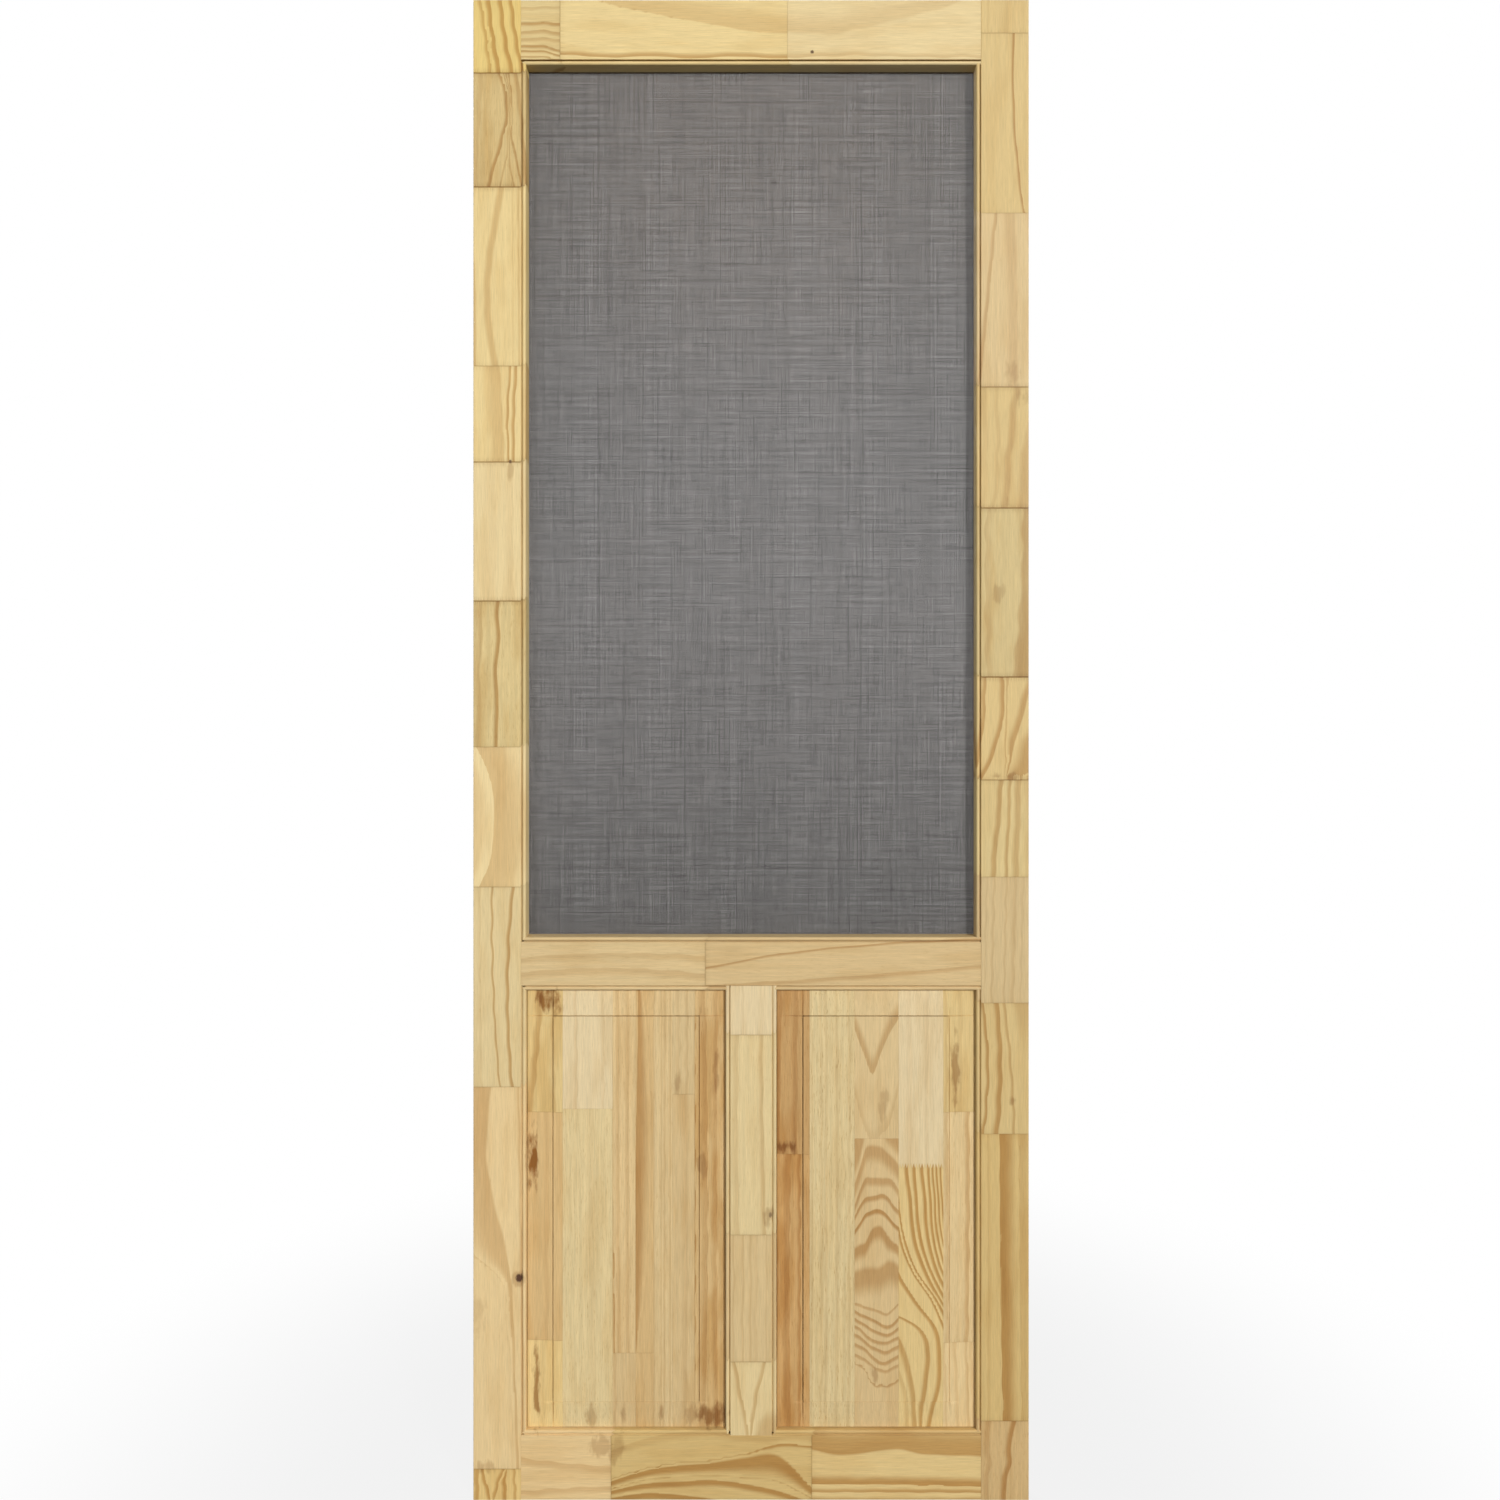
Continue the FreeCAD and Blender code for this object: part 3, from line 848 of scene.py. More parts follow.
    def make(self) -> bpy.types.Material:
        """Builds the material.

        The tone of the block is darkened where there is late wood, under clouds and along flecks, streaks
        and fibres of noise drawn out along the log, then at the glue lines and the stains, by painted shade
        in quirks, kerfs and at the panels' edges, and at the knots.

        Returns:
            The pine material.
        """
        bench = Bench(self.name)
        straight = bench.read("log_place")
        toned = bench.add("ShaderNodeAttribute", attribute_name="tone")
        soft, patchy, speck = bench.split(bench.read("habit"))
        span, reach, glued = bench.split(bench.read("span"))
        fibre = bench.noise(straight, self.fibre_fuzz)
        rings = self.rings(bench, straight, fibre, toned.outputs["Alpha"], soft)
        colour = toned.outputs["Color"]
        colour = bench.tint(rings, colour, self.late_tint)

        patch = bench.step(bench.noise(straight, self.patch_fuzz), *self.patch_step)
        patch = bench.math("MULTIPLY", patch, patchy)
        colour = bench.tint(patch, colour, self.patch_tint)
        streak = bench.step(bench.noise(straight, self.streak_fuzz), *self.streak_step)
        strong = bench.math("MULTIPLY_ADD", speck, self.streak_gain, self.streak_least)
        streak = bench.math("MULTIPLY", streak, strong)
        colour = bench.vector("SCALE", colour, bench.math("ADD", streak, 1.0))
        thread = bench.noise(straight, self.thread_fuzz)
        fleck = bench.math("MULTIPLY", bench.step(thread, *self.fleck_step), speck)
        colour = bench.tint(fleck, colour, self.late_tint)
        colour = bench.vector("SCALE", colour, bench.step(fibre, *self.fibre_step))

        inside = bench.math("MULTIPLY", bench.math("SUBTRACT", 1.0, bench.math("ABSOLUTE", span)), reach)
        soak = bench.step(inside, self.soak_reach, 0.0)
        soak = bench.math("MULTIPLY", soak, bench.step(thread, *self.soak_step))
        seam = bench.math("MAXIMUM", bench.step(inside, *self.seam_step), soak)
        seam = bench.math("MULTIPLY", seam, glued)
        colour = bench.tint(seam, colour, self.seam_tint)
        measure, strength, nook = bench.split(bench.read("stain"))
        colour = bench.tint(self.stain(bench, measure, strength), colour, self.stain_tint)
        # Painted shade in quirks, kerfs and at the panels' edges.
        colour = bench.tint(nook, colour, self.nook_shade_tint)
        colour = bench.mix(self.knots(bench), colour, self.knot_colour)

        height = bench.math("MULTIPLY_ADD", rings, 0.35, bench.math("MULTIPLY", fibre, 0.5))
        height = bench.math("MULTIPLY_ADD", thread, 0.35, height)
        rough = bench.math("MULTIPLY_ADD", fibre, 0.14, self.rough)
        rough = bench.math("MULTIPLY_ADD", rings, -0.16, rough)
        shader = bench.add("ShaderNodeBsdfPrincipled")
        bench.feed(shader.inputs["Base Color"], colour)
        bench.feed(shader.inputs["Roughness"], rough)
        bench.feed(shader.inputs["Normal"], bench.bump(self.bumps, self.relief, height))
        bench.feed(shader.inputs["Specular IOR Level"], self.specular)
        return bench.close(shader.outputs[0])


@dataclass(frozen=True)
class YarnFinish:
    """Charcoal coated glass yarn, a little different from yarn to yarn, with a satin skin."""

    name: str = "screen_yarn"
    cool: Colour = (0.096, 0.088, 0.083, 1.0)
    warm: Colour = (0.091, 0.074, 0.061, 1.0)
    warm_from: float = 1.4
    warm_to: float = 1.95
    specular: float = 0.35
    short: float = 800.0
    long: float = 40.0
    slub: float = 0.22
    middle: float = 0.381
    half: float = 0.309
    # Painted shade on the cloth: to its upper sides, at its head and at its foot.
    side_painted_cloth_shade: Step = (1.10, 1.45, 0.0, 0.33)
    head_painted_cloth_shade: Step = (1.72, 1.92, 0.0, 0.08)
    foot_painted_cloth_shade: Step = (1.05, 0.78, 0.0, 0.13)
    rib_fuzz: Fuzz = Fuzz(2400.0, 2400.0)
    rib_step: Step = (0.3, 0.7, 0.92, 1.08)
    rough_step: Step = (0.3, 0.7, 0.50, 0.62)
    bumps: float = 0.2
    relief: float = 0.02 * MM

    def painted_cloth_shade(self, bench: Bench) -> Socket:
        """Gives painted shade on the cloth, where light falls off: darker at its head and foot and, higher
        up, to its sides.
        """
        across, _, up = bench.split(bench.place())
        aside = bench.math("DIVIDE", bench.math("SUBTRACT", across, self.middle), self.half)
        sides = bench.math("MULTIPLY", bench.math("MULTIPLY", aside, aside), bench.step(up, *self.side_painted_cloth_shade))
        ends = bench.math("ADD", bench.step(up, *self.head_painted_cloth_shade), bench.step(up, *self.foot_painted_cloth_shade))
        return bench.math("SUBTRACT", bench.math("SUBTRACT", 1.0, sides), ends)

    def make(self) -> bpy.types.Material:
        """Builds the material: the yarn's shade, slubs and painted shade times a charcoal that warms upwards.

        Returns:
            The yarn material.
        """
        bench = Bench(self.name)
        shade = bench.read("yarn_shade", "Fac")
        ribs = bench.noise(bench.place(), self.rib_fuzz)
        value = bench.math("MULTIPLY", shade, bench.step(ribs, *self.rib_step))
        for across, along in ((self.short, self.long), (self.long, self.short)):
            lumps = bench.noise(bench.place(), Fuzz(across, along, 1.0))
            slub = bench.step(lumps, 0.3, 0.7, 1.0 - self.slub, 1.0 + self.slub)
            value = bench.math("MULTIPLY", value, slub)
        # Painted shade by place on the cloth.
        value = bench.math("MULTIPLY", value, self.painted_cloth_shade(bench))
        shader = bench.add("ShaderNodeBsdfPrincipled")
        warmth = bench.step(bench.split(bench.place())[2], self.warm_from, self.warm_to)
        charcoal = bench.mix(warmth, self.cool, self.warm)
        bench.feed(shader.inputs["Base Color"], bench.vector("SCALE", charcoal, value))
        bench.feed(shader.inputs["Roughness"], bench.step(ribs, *self.rough_step))
        bench.feed(shader.inputs["Normal"], bench.bump(self.bumps, self.relief, ribs))
        bench.feed(shader.inputs["Specular IOR Level"], self.specular)
        return bench.close(shader.outputs[0])


@dataclass(frozen=True)
class BradFinish:
    """Bright steel of the brads, dulled by handling."""

    name: str = "brad_steel"
    dull: Colour = (0.42, 0.41, 0.39, 1.0)
    bright: Colour = (0.56, 0.55, 0.53, 1.0)
    cloud_fuzz: Fuzz = Fuzz(900.0, 900.0)
    rough_step: Step = (0.3, 0.7, 0.30, 0.48)

    def make(self) -> bpy.types.Material:
        """Builds the material: grey steel with cloudy roughness."""
        bench = Bench(self.name)
        cloud = bench.noise(bench.place(), self.cloud_fuzz)
        shader = bench.add("ShaderNodeBsdfPrincipled")
        bench.feed(shader.inputs["Base Color"], bench.mix(cloud, self.dull, self.bright))
        bench.feed(shader.inputs["Roughness"], bench.step(cloud, *self.rough_step))
        bench.feed(shader.inputs["Metallic"], 1.0)
        return bench.close(shader.outputs[0])


@dataclass(frozen=True)
class FingerJoint:
    """A finger joint: a zigzag through the thickness that shows as a line on the faces."""

    pitch: float = 3.8 * MM
    length: float = 7.0 * MM
    gap: float = 0.16 * MM

    def zigzag(self, way: Array) -> Array:
        """Gives the joint's reach at a distance from the face: a triangle wave from 0 to its length."""
        turns = way / self.pitch
        return 2.0 * np.abs(turns - np.round(turns)) * self.length


JOINT = FingerJoint()


@dataclass(frozen=True)
class Station:
    """A place along a member where its section changes, with the section of its low and high edge."""

    at: float
    low: Edge
    high: Edge


@dataclass(frozen=True)
class LipRun:
    """A stretch of moulded lip, mitred at both ends, along a member's high (+1) or low (-1) edge.

    Shade is how much painted shade darkens the wood in its quirk, where the groove lies in shadow.
    """

    lip: Lip
    side: int
    start: float
    end: float
    shade: float = 0.4


@dataclass
class Member:
    """A stile, rail or muntin, made up of finger-jointed blocks."""

    node: str
    rod: Rod
    axis: Axis
    low: float
    high: float
    stations: list[Station]
    lips: list[LipRun]
    blocks: Sequence[Block]
    order: int

    def edge_run(self, edge: Edge) -> Array:
        """Gives an edge's section from the front to the back, as (outward, y) rows.

        A square edge is rounded at its corners and has a point at every half finger. A shoulder is straight
        with eased corners. A rabbet is a shoulder whose back part steps in to make the screen's seat.

        Args:
            edge: The kind of edge.

        Returns:
            The section's points.
        """
        rod = self.rod
        ease = rod.arris
        if edge is Edge.SQUARE:
            turn = np.linspace(0.0, 0.5 * math.pi, 4)
            out = rod.corner * (np.sin(turn) - 1.0)
            into = rod.corner * (1.0 - np.cos(turn))
            flat = np.arange(rod.front + 0.5 * JOINT.pitch, rod.back - rod.corner, 0.5 * JOINT.pitch)
            front = np.stack([out, rod.front + into], axis=1)
            back = np.stack([out, rod.back - into], axis=1)[::-1]
            return np.concatenate([front, np.stack([0.0 * flat, flat], axis=1), back])
        step = rod.rabbet - rod.stick if edge is Edge.RABBET else 0.0
        middle = rod.seat if edge is Edge.RABBET else 0.5 * (rod.seat + rod.back)
        return np.array([
            [-ease, rod.front], [0.0, rod.front + ease], [0.0, rod.seat],
            [-step, middle], [-step, rod.back - ease], [-step - ease, rod.back],
        ])

    def lip_section(self, lip: Lip) -> Array:
        """Gives the closed section of a lip as (outward, y) rows, set a little into the wood behind it.

        The front is a sunk quirk and a half-round bead whose far side is the sight line; the reveal then
        goes straight back to the screen's seat or to the panel's groove.

        Args:
            lip: The kind of lip.

        Returns:
            The section's points.
        """
        rod = self.rod
        turn = np.linspace(0.0, math.pi, 11)
        arc = np.stack([
            rod.quirk + rod.bead * (1.0 - np.cos(turn)),
            rod.front + rod.spring - rod.bead * np.sin(turn),
        ], axis=1)
        deep = rod.seat if lip is Lip.SCREEN else -0.5 * rod.groove
        reveal_y = np.linspace(rod.front + rod.spring, deep, 7)[1:]
        reveal = np.stack([np.full_like(reveal_y, rod.stick), reveal_y], axis=1)
        floor = rod.spring if lip is Lip.SCREEN else rod.panel_quirk * rod.spring
        start = np.array([[-rod.lip_bite, rod.front + floor]])
        end = np.array([[-rod.lip_bite, deep]])
        section = np.concatenate([start, arc, reveal, end])
        if lip is Lip.PANEL_BACK:
            section = section[::-1] * np.array([1.0, -1.0])
        return section

    def placed(self, along: Array, cross: Array, deep: Array) -> Array:
        """Puts places along and across the member into the door."""
        order = (cross, deep, along) if self.axis is Axis.UPRIGHT else (along, deep, cross)
        return np.stack(order, axis=-1)

    def ring(self, station: Station, at: float, joint: int = 0) -> Array:
        """Gives one ring of the core.

        Args:
            station: The section to take.
            at: Where the ring stands along the member.
            joint: 1 at the start of a block, -1 at its end, 0 within it.

        Returns:
            The ring's points: the high edge from front to back, the back, the low edge and the front.
        """
        high = self.edge_run(station.high)
        low = self.edge_run(station.low)[::-1]
        high_cross, low_cross = self.high + high[:, 0], self.low - low[:, 0]
        count = int((self.high - self.low) / FACE_STEP)
        front = np.linspace(low_cross[-1], high_cross[0], count)[1:-1]
        back = np.linspace(high_cross[-1], low_cross[0], count)[1:-1]
        cross = np.concatenate([high_cross, back, low_cross, front])
        deep = np.concatenate([
            high[:, 1], np.full_like(back, self.rod.back), low[:, 1], np.full_like(front, self.rod.front)])
        along = np.full_like(cross, at)
        if joint:
            along = along + JOINT.zigzag(deep - self.rod.front) + 0.5 * joint * JOINT.gap
        return self.placed(along, cross, deep)

    def pocket(self, ring: Array, at: float) -> Array:
        """Draws a ring in toward its middle and sets it flat, as the bottom of a block's hollow end."""
        middle = ring.mean(axis=0)
        inner = middle + POCKET_SHARE * (ring - middle)
        inner[:, 2 if self.axis is Axis.UPRIGHT else 0] = at
        return inner

    def core(self, start: float, end: float) -> tuple[Shell, Array]:
        """Sweeps the core of a block from one joint to the next, through the stations between them.

        An end with fingers is hollow behind its rim, so that only the rim has to follow the zigzag.

        Args:
            start: Where the block starts.
            end: Where it ends.

        Returns:
            The shell, and where its points lie along the block.
        """
        first = [s for s in self.stations if s.at <= start + MERGE][-1]
        inside = [s for s in self.stations if start + MERGE < s.at < end - MERGE]
        is_end = end >= self.stations[-1].at - MERGE
        is_start = start <= self.stations[0].at + MERGE
        rings = [self.ring(first, start, 0 if is_start else 1)]
        places = [start]
        current = first
        for station in inside:
            rings.extend([self.ring(current, station.at), self.ring(station, station.at)])
            places.extend([station.at, station.at])
            current = station
        rings.append(self.ring(current, end, 0 if is_end else -1))
        places.append(end)
        if not is_start:
            rings.insert(0, self.pocket(rings[0], start + JOINT.length + POCKET_DEEP))
            places.insert(0, start)
        if not is_end:
            rings.append(self.pocket(rings[-1], end - POCKET_DEEP))
            places.append(end)
        span = np.interp(np.array(places), [start, end], [-1.0, 1.0])
        many, spans = Shell.filled(np.stack(rings), np.repeat(span[:, None], len(rings[0]), axis=1))
        return Shell.swept(many), spans.ravel()

    def lip_shell(self, run: LipRun, start: float, end: float) -> tuple[Shell, Array, Array]:
        """Sweeps a stretch of lip within a block; its own ends are mitred by as much as they stand out.

        Args:
            run: The whole lip.
            start: Where the block starts.
            end: Where it ends.

        Returns:
            The shell, where its points lie along the block, and how much painted shade their quirk gets.
        """
        section = self.lip_section(run.lip)
        out, deep = section[:, 0], section[:, 1]
        cross = self.high + out if run.side > 0 else self.low - out
        mitre = np.maximum(out, 0.0)
        zigzag = JOINT.zigzag(deep - self.rod.front)
        rings = []
        spans = []
        for at, own_end, sign in ((start, run.start, 1), (end, run.end, -1)):
            if (own_end - at) * sign >= -MERGE:
                along = own_end + sign * (mitre + self.rod.shoulder_gap)
                spans.append(np.interp(along, [start, end], [-1.0, 1.0]))
                rings.append(self.placed(along, cross, deep))
            else:
                rim = self.placed(at + zigzag + sign * 0.5 * JOINT.gap, cross, deep)
                bed = self.pocket(rim, at + (JOINT.length + POCKET_DEEP if sign > 0 else -POCKET_DEEP))
                rings.extend([bed, rim][::sign])
                spans.extend([np.full(len(rim), -float(sign))] * 2)
        many, filled = Shell.filled(np.stack(rings), np.stack(spans))
        # Painted shade: the quirk's points are darkened by the lip's share.
        nook = np.zeros(len(section))
        nook[:len(QUIRK_PAINTED_SHADE)] = np.array(QUIRK_PAINTED_SHADE) * run.shade
        if run.lip is Lip.PANEL_BACK:
            nook = nook[::-1]
        return Shell.swept(many), filled.ravel(), np.tile(nook, len(many))

    def build(self, finish: bpy.types.Material) -> bpy.types.Object:
        """Builds the member's blocks, cores and lips, and stands it in for its node.

        Args:
            finish: The pine material.

        Returns:
            The piece.
        """
        shells: list[Shell] = []
        start = self.stations[0].at
        breadth = (self.high - self.low) / MM
        joint = 0.0
        for number, block in enumerate(self.blocks):
            last = number == len(self.blocks) - 1
            end = self.stations[-1].at if last else block.end * MM
            corner = self.placed(np.array(start), np.array(self.low), np.array(self.rod.front))
            length = (end - start) / MM
            face = self.rod.back - self.rod.arris
            wood = Wood(block, self.axis, corner, breadth, length, self.order + number, joint, face)
            core, span = self.core(start, end)
            shells.append(core.of_wood(wood, span))
            for run in self.lips:
                if min(end, run.end) - max(start, run.start) > MERGE:
                    lip, span, nook = self.lip_shell(run, start, end)
                    shells.append(lip.of_wood(wood, span, nook))
            start, joint = end, block.seam
        piece = make_piece(f"{self.node}_blocks", shells, finish)
        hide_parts(self.node)
        return piece


@dataclass
class DoorFrame:
    """The stiles, rails and muntin, with the blocks that each is glued up from."""

    rod: Rod

    hinge_blocks: tuple[Block, ...] = (
        Block(42.5, Tone.AMBER, 1.13, (
            Line(9, 9, 8, 0.8, 10.5), Line(26, 20, 14, 0.9, 7.5), Line(30, 36, 44, 0.8, 7.5),
            Line(47, 46, 45, 0.95, 9), Line(60, 59, 58, 0.7, 6),
        ), waver=0.8, seam=0.3),
        Block(566.5, Tone.STRAW, 1.17, (
            Curve((57.3, 55.9, 54.1, 51.8, 47.7, 39, -20, -34, -34, -34, -34), 0.12, 6),
            Curve((62.8, 61, 59.1, 57.3, 55.5, 52.3, 45.4, 32.1, 22, 22.9, 28), 0.55, 70),
            Line(72, 68, 64, 0.4, 5),
        ), soft=0.12, waver=0.5, seam=0.2),
        Block(840.8, Tone.WHEAT, 1.01, (
            Line(14, 12, 12, 0.15, 6), Line(39, 29.5, 28, 0.8, 4.5), Line(56.6, 50, 58, 0.9, 7.5),
        ), soft=0.3, seam=0.3),
        Block(1032.8, Tone.WHEAT, 1.14, (
            Curve((6, 21, 26, 26.6, 26, 18, 2), 0.55, 69),
        ), fade=Fade.AFTER, soft=0.03, waver=0.4, seam=0.25),
        Block(1233.1, Tone.BUFF, 0.99, (
            Line(14, 12, 16, 0.35, 13.5), Line(36, 35.5, 39, 0.95, 9),
        ), soft=0.3, waver=1.8, patches=0.5, speck=0.9, seam=0.8),
        Block(1423.7, Tone.WHEAT, 1.05, (Line(30, 34, 30, 0.12, 21), Line(58, 56, 57, 0.15, 15)), seam=0.8),
        Block(1555.4, Tone.BUFF, 1.14, (
            Line(46, 42.9, 39.8, 0.5, 29.9), Line(50.7, 49, 53.8, 0.9, 5.2), Line(58.5, 57.9, 61.6, 0.9, 6.8),
        ), waver=0.6, seam=0.35),
        Block(1800.9, Tone.BUFF, 1.11, (
            Line(6, 5, -3, 0.5, 10.5), Curve((38, 30, 27, 30, 38, 46), 0.55, 15), Line(58, 57, 57, 0.2, 4.5),
            Line(66, 65, 64, 0.4, 4.5),
        ), soft=0.5, waver=0.4, seam=0.9),
        Block(1957.3, Tone.HONEY, 0.88, (
            Line(8, 10, 16, 0.3, 10), Curve((24.5, 31, 39, 46, 50, 47, 40), 0.85, 8),
            Curve((38, 44.5, 49, 49.6, 51, 48.5, 43), 0.5, 4),
            Curve((58, 53, 50.5, 50.5, 52, 50, 47), 0.5, 4),
            Curve((69, 64, 58, 52.5, 53, 52, 50), 0.8, 5), Line(76, 71, 62, 0.6, 9),
        ), soft=0.3, waver=0.7, patches=0.6, speck=0.8, seam=0.9),
        Block(2057.4, Tone.TAN, 1.00, (
            Line(27, 20.9, 12.5, 0.7, 9), Line(39.6, 30.2, 24.9, 0.95, 10.5),
            Line(57.6, 47.3, 41, 0.95, 10.5), Line(72, 61.4, 55, 0.9, 9),
        ), soft=0.25, waver=0.8),
    )
    latch_blocks: tuple[Block, ...] = (
        Block(108.4, Tone.OLIVE, 0.96, (
            Line(12, 14, 14, 0.4, 12), Line(35, 42, 48.6, 0.95, 12),
        ), soft=0.3, waver=2.0, patches=0.4, speck=0.8, seam=0.3),
        Block(502.0, Tone.AMBER, 0.92, (
            Line(8, 9, 8, 0.25, 6), Line(29, 25.5, 24.6, 0.95, 27.6), Line(54, 52, 50, 0.3, 21),
        ), fade=Fade.AFTER, soft=0.06, patches=0.35, seam=0.2),
        Block(681.7, Tone.HONEY, 0.91, (
            Line(6, 12.5, 5, 0.9, 7.5), Line(26, 31, 26, 0.9, 12), Line(48, 43.5, 33.6, 0.6, 6),
        ), soft=0.3, waver=0.8, patches=0.2, seam=0.2),
        Block(854.5, Tone.STRAW, 0.89, patches=0.2, seam=0.2),
        Block(987.6, Tone.BUFF, 0.97, (
            Line(21.6, 27.6, 33.6, 0.75, 12), Line(38, 41, 44, 0.7, 8), Line(54, 56, 58, 0.6, 14),
        ), soft=0.4, seam=0.6),
        Block(1128.8, Tone.HONEY, 0.94, (
            Line(-8, 5, 8, 0.8, 9), Line(2, 29.5, 32, 0.9, 10.5), Line(35, 36, 36.6, 0.5, 3.8),
            Line(34, 54, 75, 0.8, 13.5),
        ), soft=0.25, waver=0.8, seam=1.0),
        Block(1360.6, Tone.BUFF, 0.88, (
            Line(6, 4, 5, 0.3, 12), Line(38, 50, 52, 0.6, 46),
        ), fade=Fade.AFTER, soft=0.2, waver=2.0, patches=0.5, seam=0.9),
        Block(1526.6, Tone.HONEY, 0.90, (
            Line(10, 12, 10, 0.2, 12), Line(22, 28, 24, 0.25, 9), Line(41, 47, 57, 0.5, 15),
        ), soft=0.5, waver=1.5, patches=0.3, seam=0.7),
        Block(1765.2, Tone.STRAW, 0.94, (
            Line(1, 12.5, 24, 0.6, 8), Line(54, 54, 50, 0.35, 22),
        ), soft=0.4, waver=0.6, seam=0.15),
        Block(2012.1, Tone.HONEY, 0.90, (
            Line(61, 48, 47, 0.95, 5.5),
        ), soft=0.2, waver=0.4, patches=0.2, seam=0.3),
        Block(2057.4, Tone.HONEY, 0.91, (Line(12, 12, 12, 0.2, 4.5), Line(40, 42, 44, 0.15, 15))),
    )
    top_blocks: tuple[Block, ...] = (
        Block(119.0, Tone.BUFF, 1.00, (
            Line(6, 6, 1, 0.8, 5), Line(13, 13, 7, 0.9, 5), Line(20, 20, 14, 0.9, 6),
            Line(30, 31, 29, 0.5, 8), Line(39, 41, 38, 0.6, 8), Line(51, 52, 51, 0.85, 7),
            Line(72, 73, 74, 0.4, 6),
        ), waver=0.8, seam=0.35),
        Block(431.0, Tone.BUFF, 1.09, (
            Curve((5, 2, 3, 1, 3, 0), 0.85, 9), Curve((94, 76, 61, 50, 38, 33), 0.42, 44),
        ), fade=Fade.AFTER, soft=0.1, waver=0.8, seam=0.05),
        Block(0.0, Tone.WHEAT, 0.98, (
            Curve((1, 4, 2, 1), 0.4, 8), Curve((33, 31, 46, 62, 84), 0.30, 40),
        ), fade=Fade.AFTER, soft=0.25, waver=0.9),
    )
    lock_blocks: tuple[Block, ...] = (
        Block(318.4, Tone.STRAW, 0.99, (
            Line(20, 26, 18, 0.35, 15), Line(40, 46, 42, 0.3, 12),
        ), speck=0.5, seam=0.35),
        Block(0.0, Tone.ROSE, 0.95, (
            Line(2, 14, 30, 0.45, 9), Curve((26, 44, 55, 62, 66), 0.7, 5),
        ), soft=0.3, waver=0.5, speck=0.5),
    )
    bottom_blocks: tuple[Block, ...] = (
        Block(189.0, Tone.ROSE, 1.16, (Line(14, 18, 20, 0.4, 12), Line(60, 52, 48, 0.4, 15)), seam=0.3),
        Block(464.2, Tone.AMBER, 0.96, (
            Curve((4.5, 11.4, 9.6, 3.6, -5, -9, -14), 1.0, 14),
            Curve((13.7, 24, 27.5, 29, 24, 14.6, -2), 1.0, 13),
            Curve((16, 28, 33, 34, 32, 27, 3), 0.1, 3), Curve((27, 42, 50, 53.2, 62, 66, 17), 1.0, 40),
            Curve((27.2, 42.2, 50.2, 53.4, 63, 78, 76), 0.9, 7), Curve((70, 86, 95, 98, 92, 90, 92), 0.3, 16),
        ), soft=0.3, waver=0.4, seam=0.3),
        Block(0.0, Tone.HONEY, 1.04, (
            Line(-3, -4, -3, 0.8, 10), Line(10, 10, 9, 0.8, 7), Line(20, 19, 17, 1.0, 17),
            Curve((66, 58.5, 62, 66.3, 59.5, 58, 57), 0.9, 55),
        ), fade=Fade.AFTER, soft=0.12, waver=0.4),
    )
    muntin_blocks: tuple[Block, ...] = (
        Block(189.3, Tone.WHEAT, 1.04, (Line(28, 18, 8, 0.6, 8), Line(30, 38, 50, 0.6, 8)), seam=0.3),
        Block(363.5, Tone.STRAW, 0.99, seam=0.25),
        Block(637.8, Tone.WHEAT, 1.00, (
            Line(14, 12, 13, 0.3, 12), Line(50, 47, 46, 0.45, 9),
        ), speck=0.5, seam=0.3),
        Block(0.0, Tone.CREAM, 0.98, (Line(20, 20, 20, 0.15, 6),)),
    )

    def upright_stations(self, flip: bool) -> list[Station]:
        """Gives a stile's stations: the rabbet runs past the screen's opening by its own width."""
        rod = self.rod
        kinds = (
            (rod.foot, Edge.SHOULDER), (rod.lock_high - rod.rabbet, Edge.RABBET),
            (rod.top + rod.rabbet, Edge.SHOULDER), (rod.head, Edge.SHOULDER),
        )
        if flip:
            return [Station(at, edge, Edge.SQUARE) for at, edge in kinds]
        return [Station(at, Edge.SQUARE, edge) for at, edge in kinds]

    def opening_lips(self, side: int) -> list[LipRun]:
        """Gives a stile's lips, round the screen and before and behind the panels."""
        rod = self.rod
        low, high = rod.bottom - rod.stick, rod.lock_low + rod.stick
        return [
            LipRun(Lip.SCREEN, side, rod.lock_high - rod.stick, rod.top + rod.stick),
            LipRun(Lip.PANEL_FRONT, side, low, high, PANEL_SHADE),
            LipRun(Lip.PANEL_BACK, side, low, high, PANEL_SHADE),
        ]

    def panel_lips(self, side: int) -> list[LipRun]:
        """Gives a rail's lips along the two panels."""
        rod = self.rod
        spans = (
            (rod.left - rod.stick, rod.muntin_left + rod.stick),
            (rod.muntin_right - rod.stick, rod.right + rod.stick),
        )
        return [LipRun(lip, side, *span, PANEL_SHADE) for lip in PANEL_LIPS for span in spans]

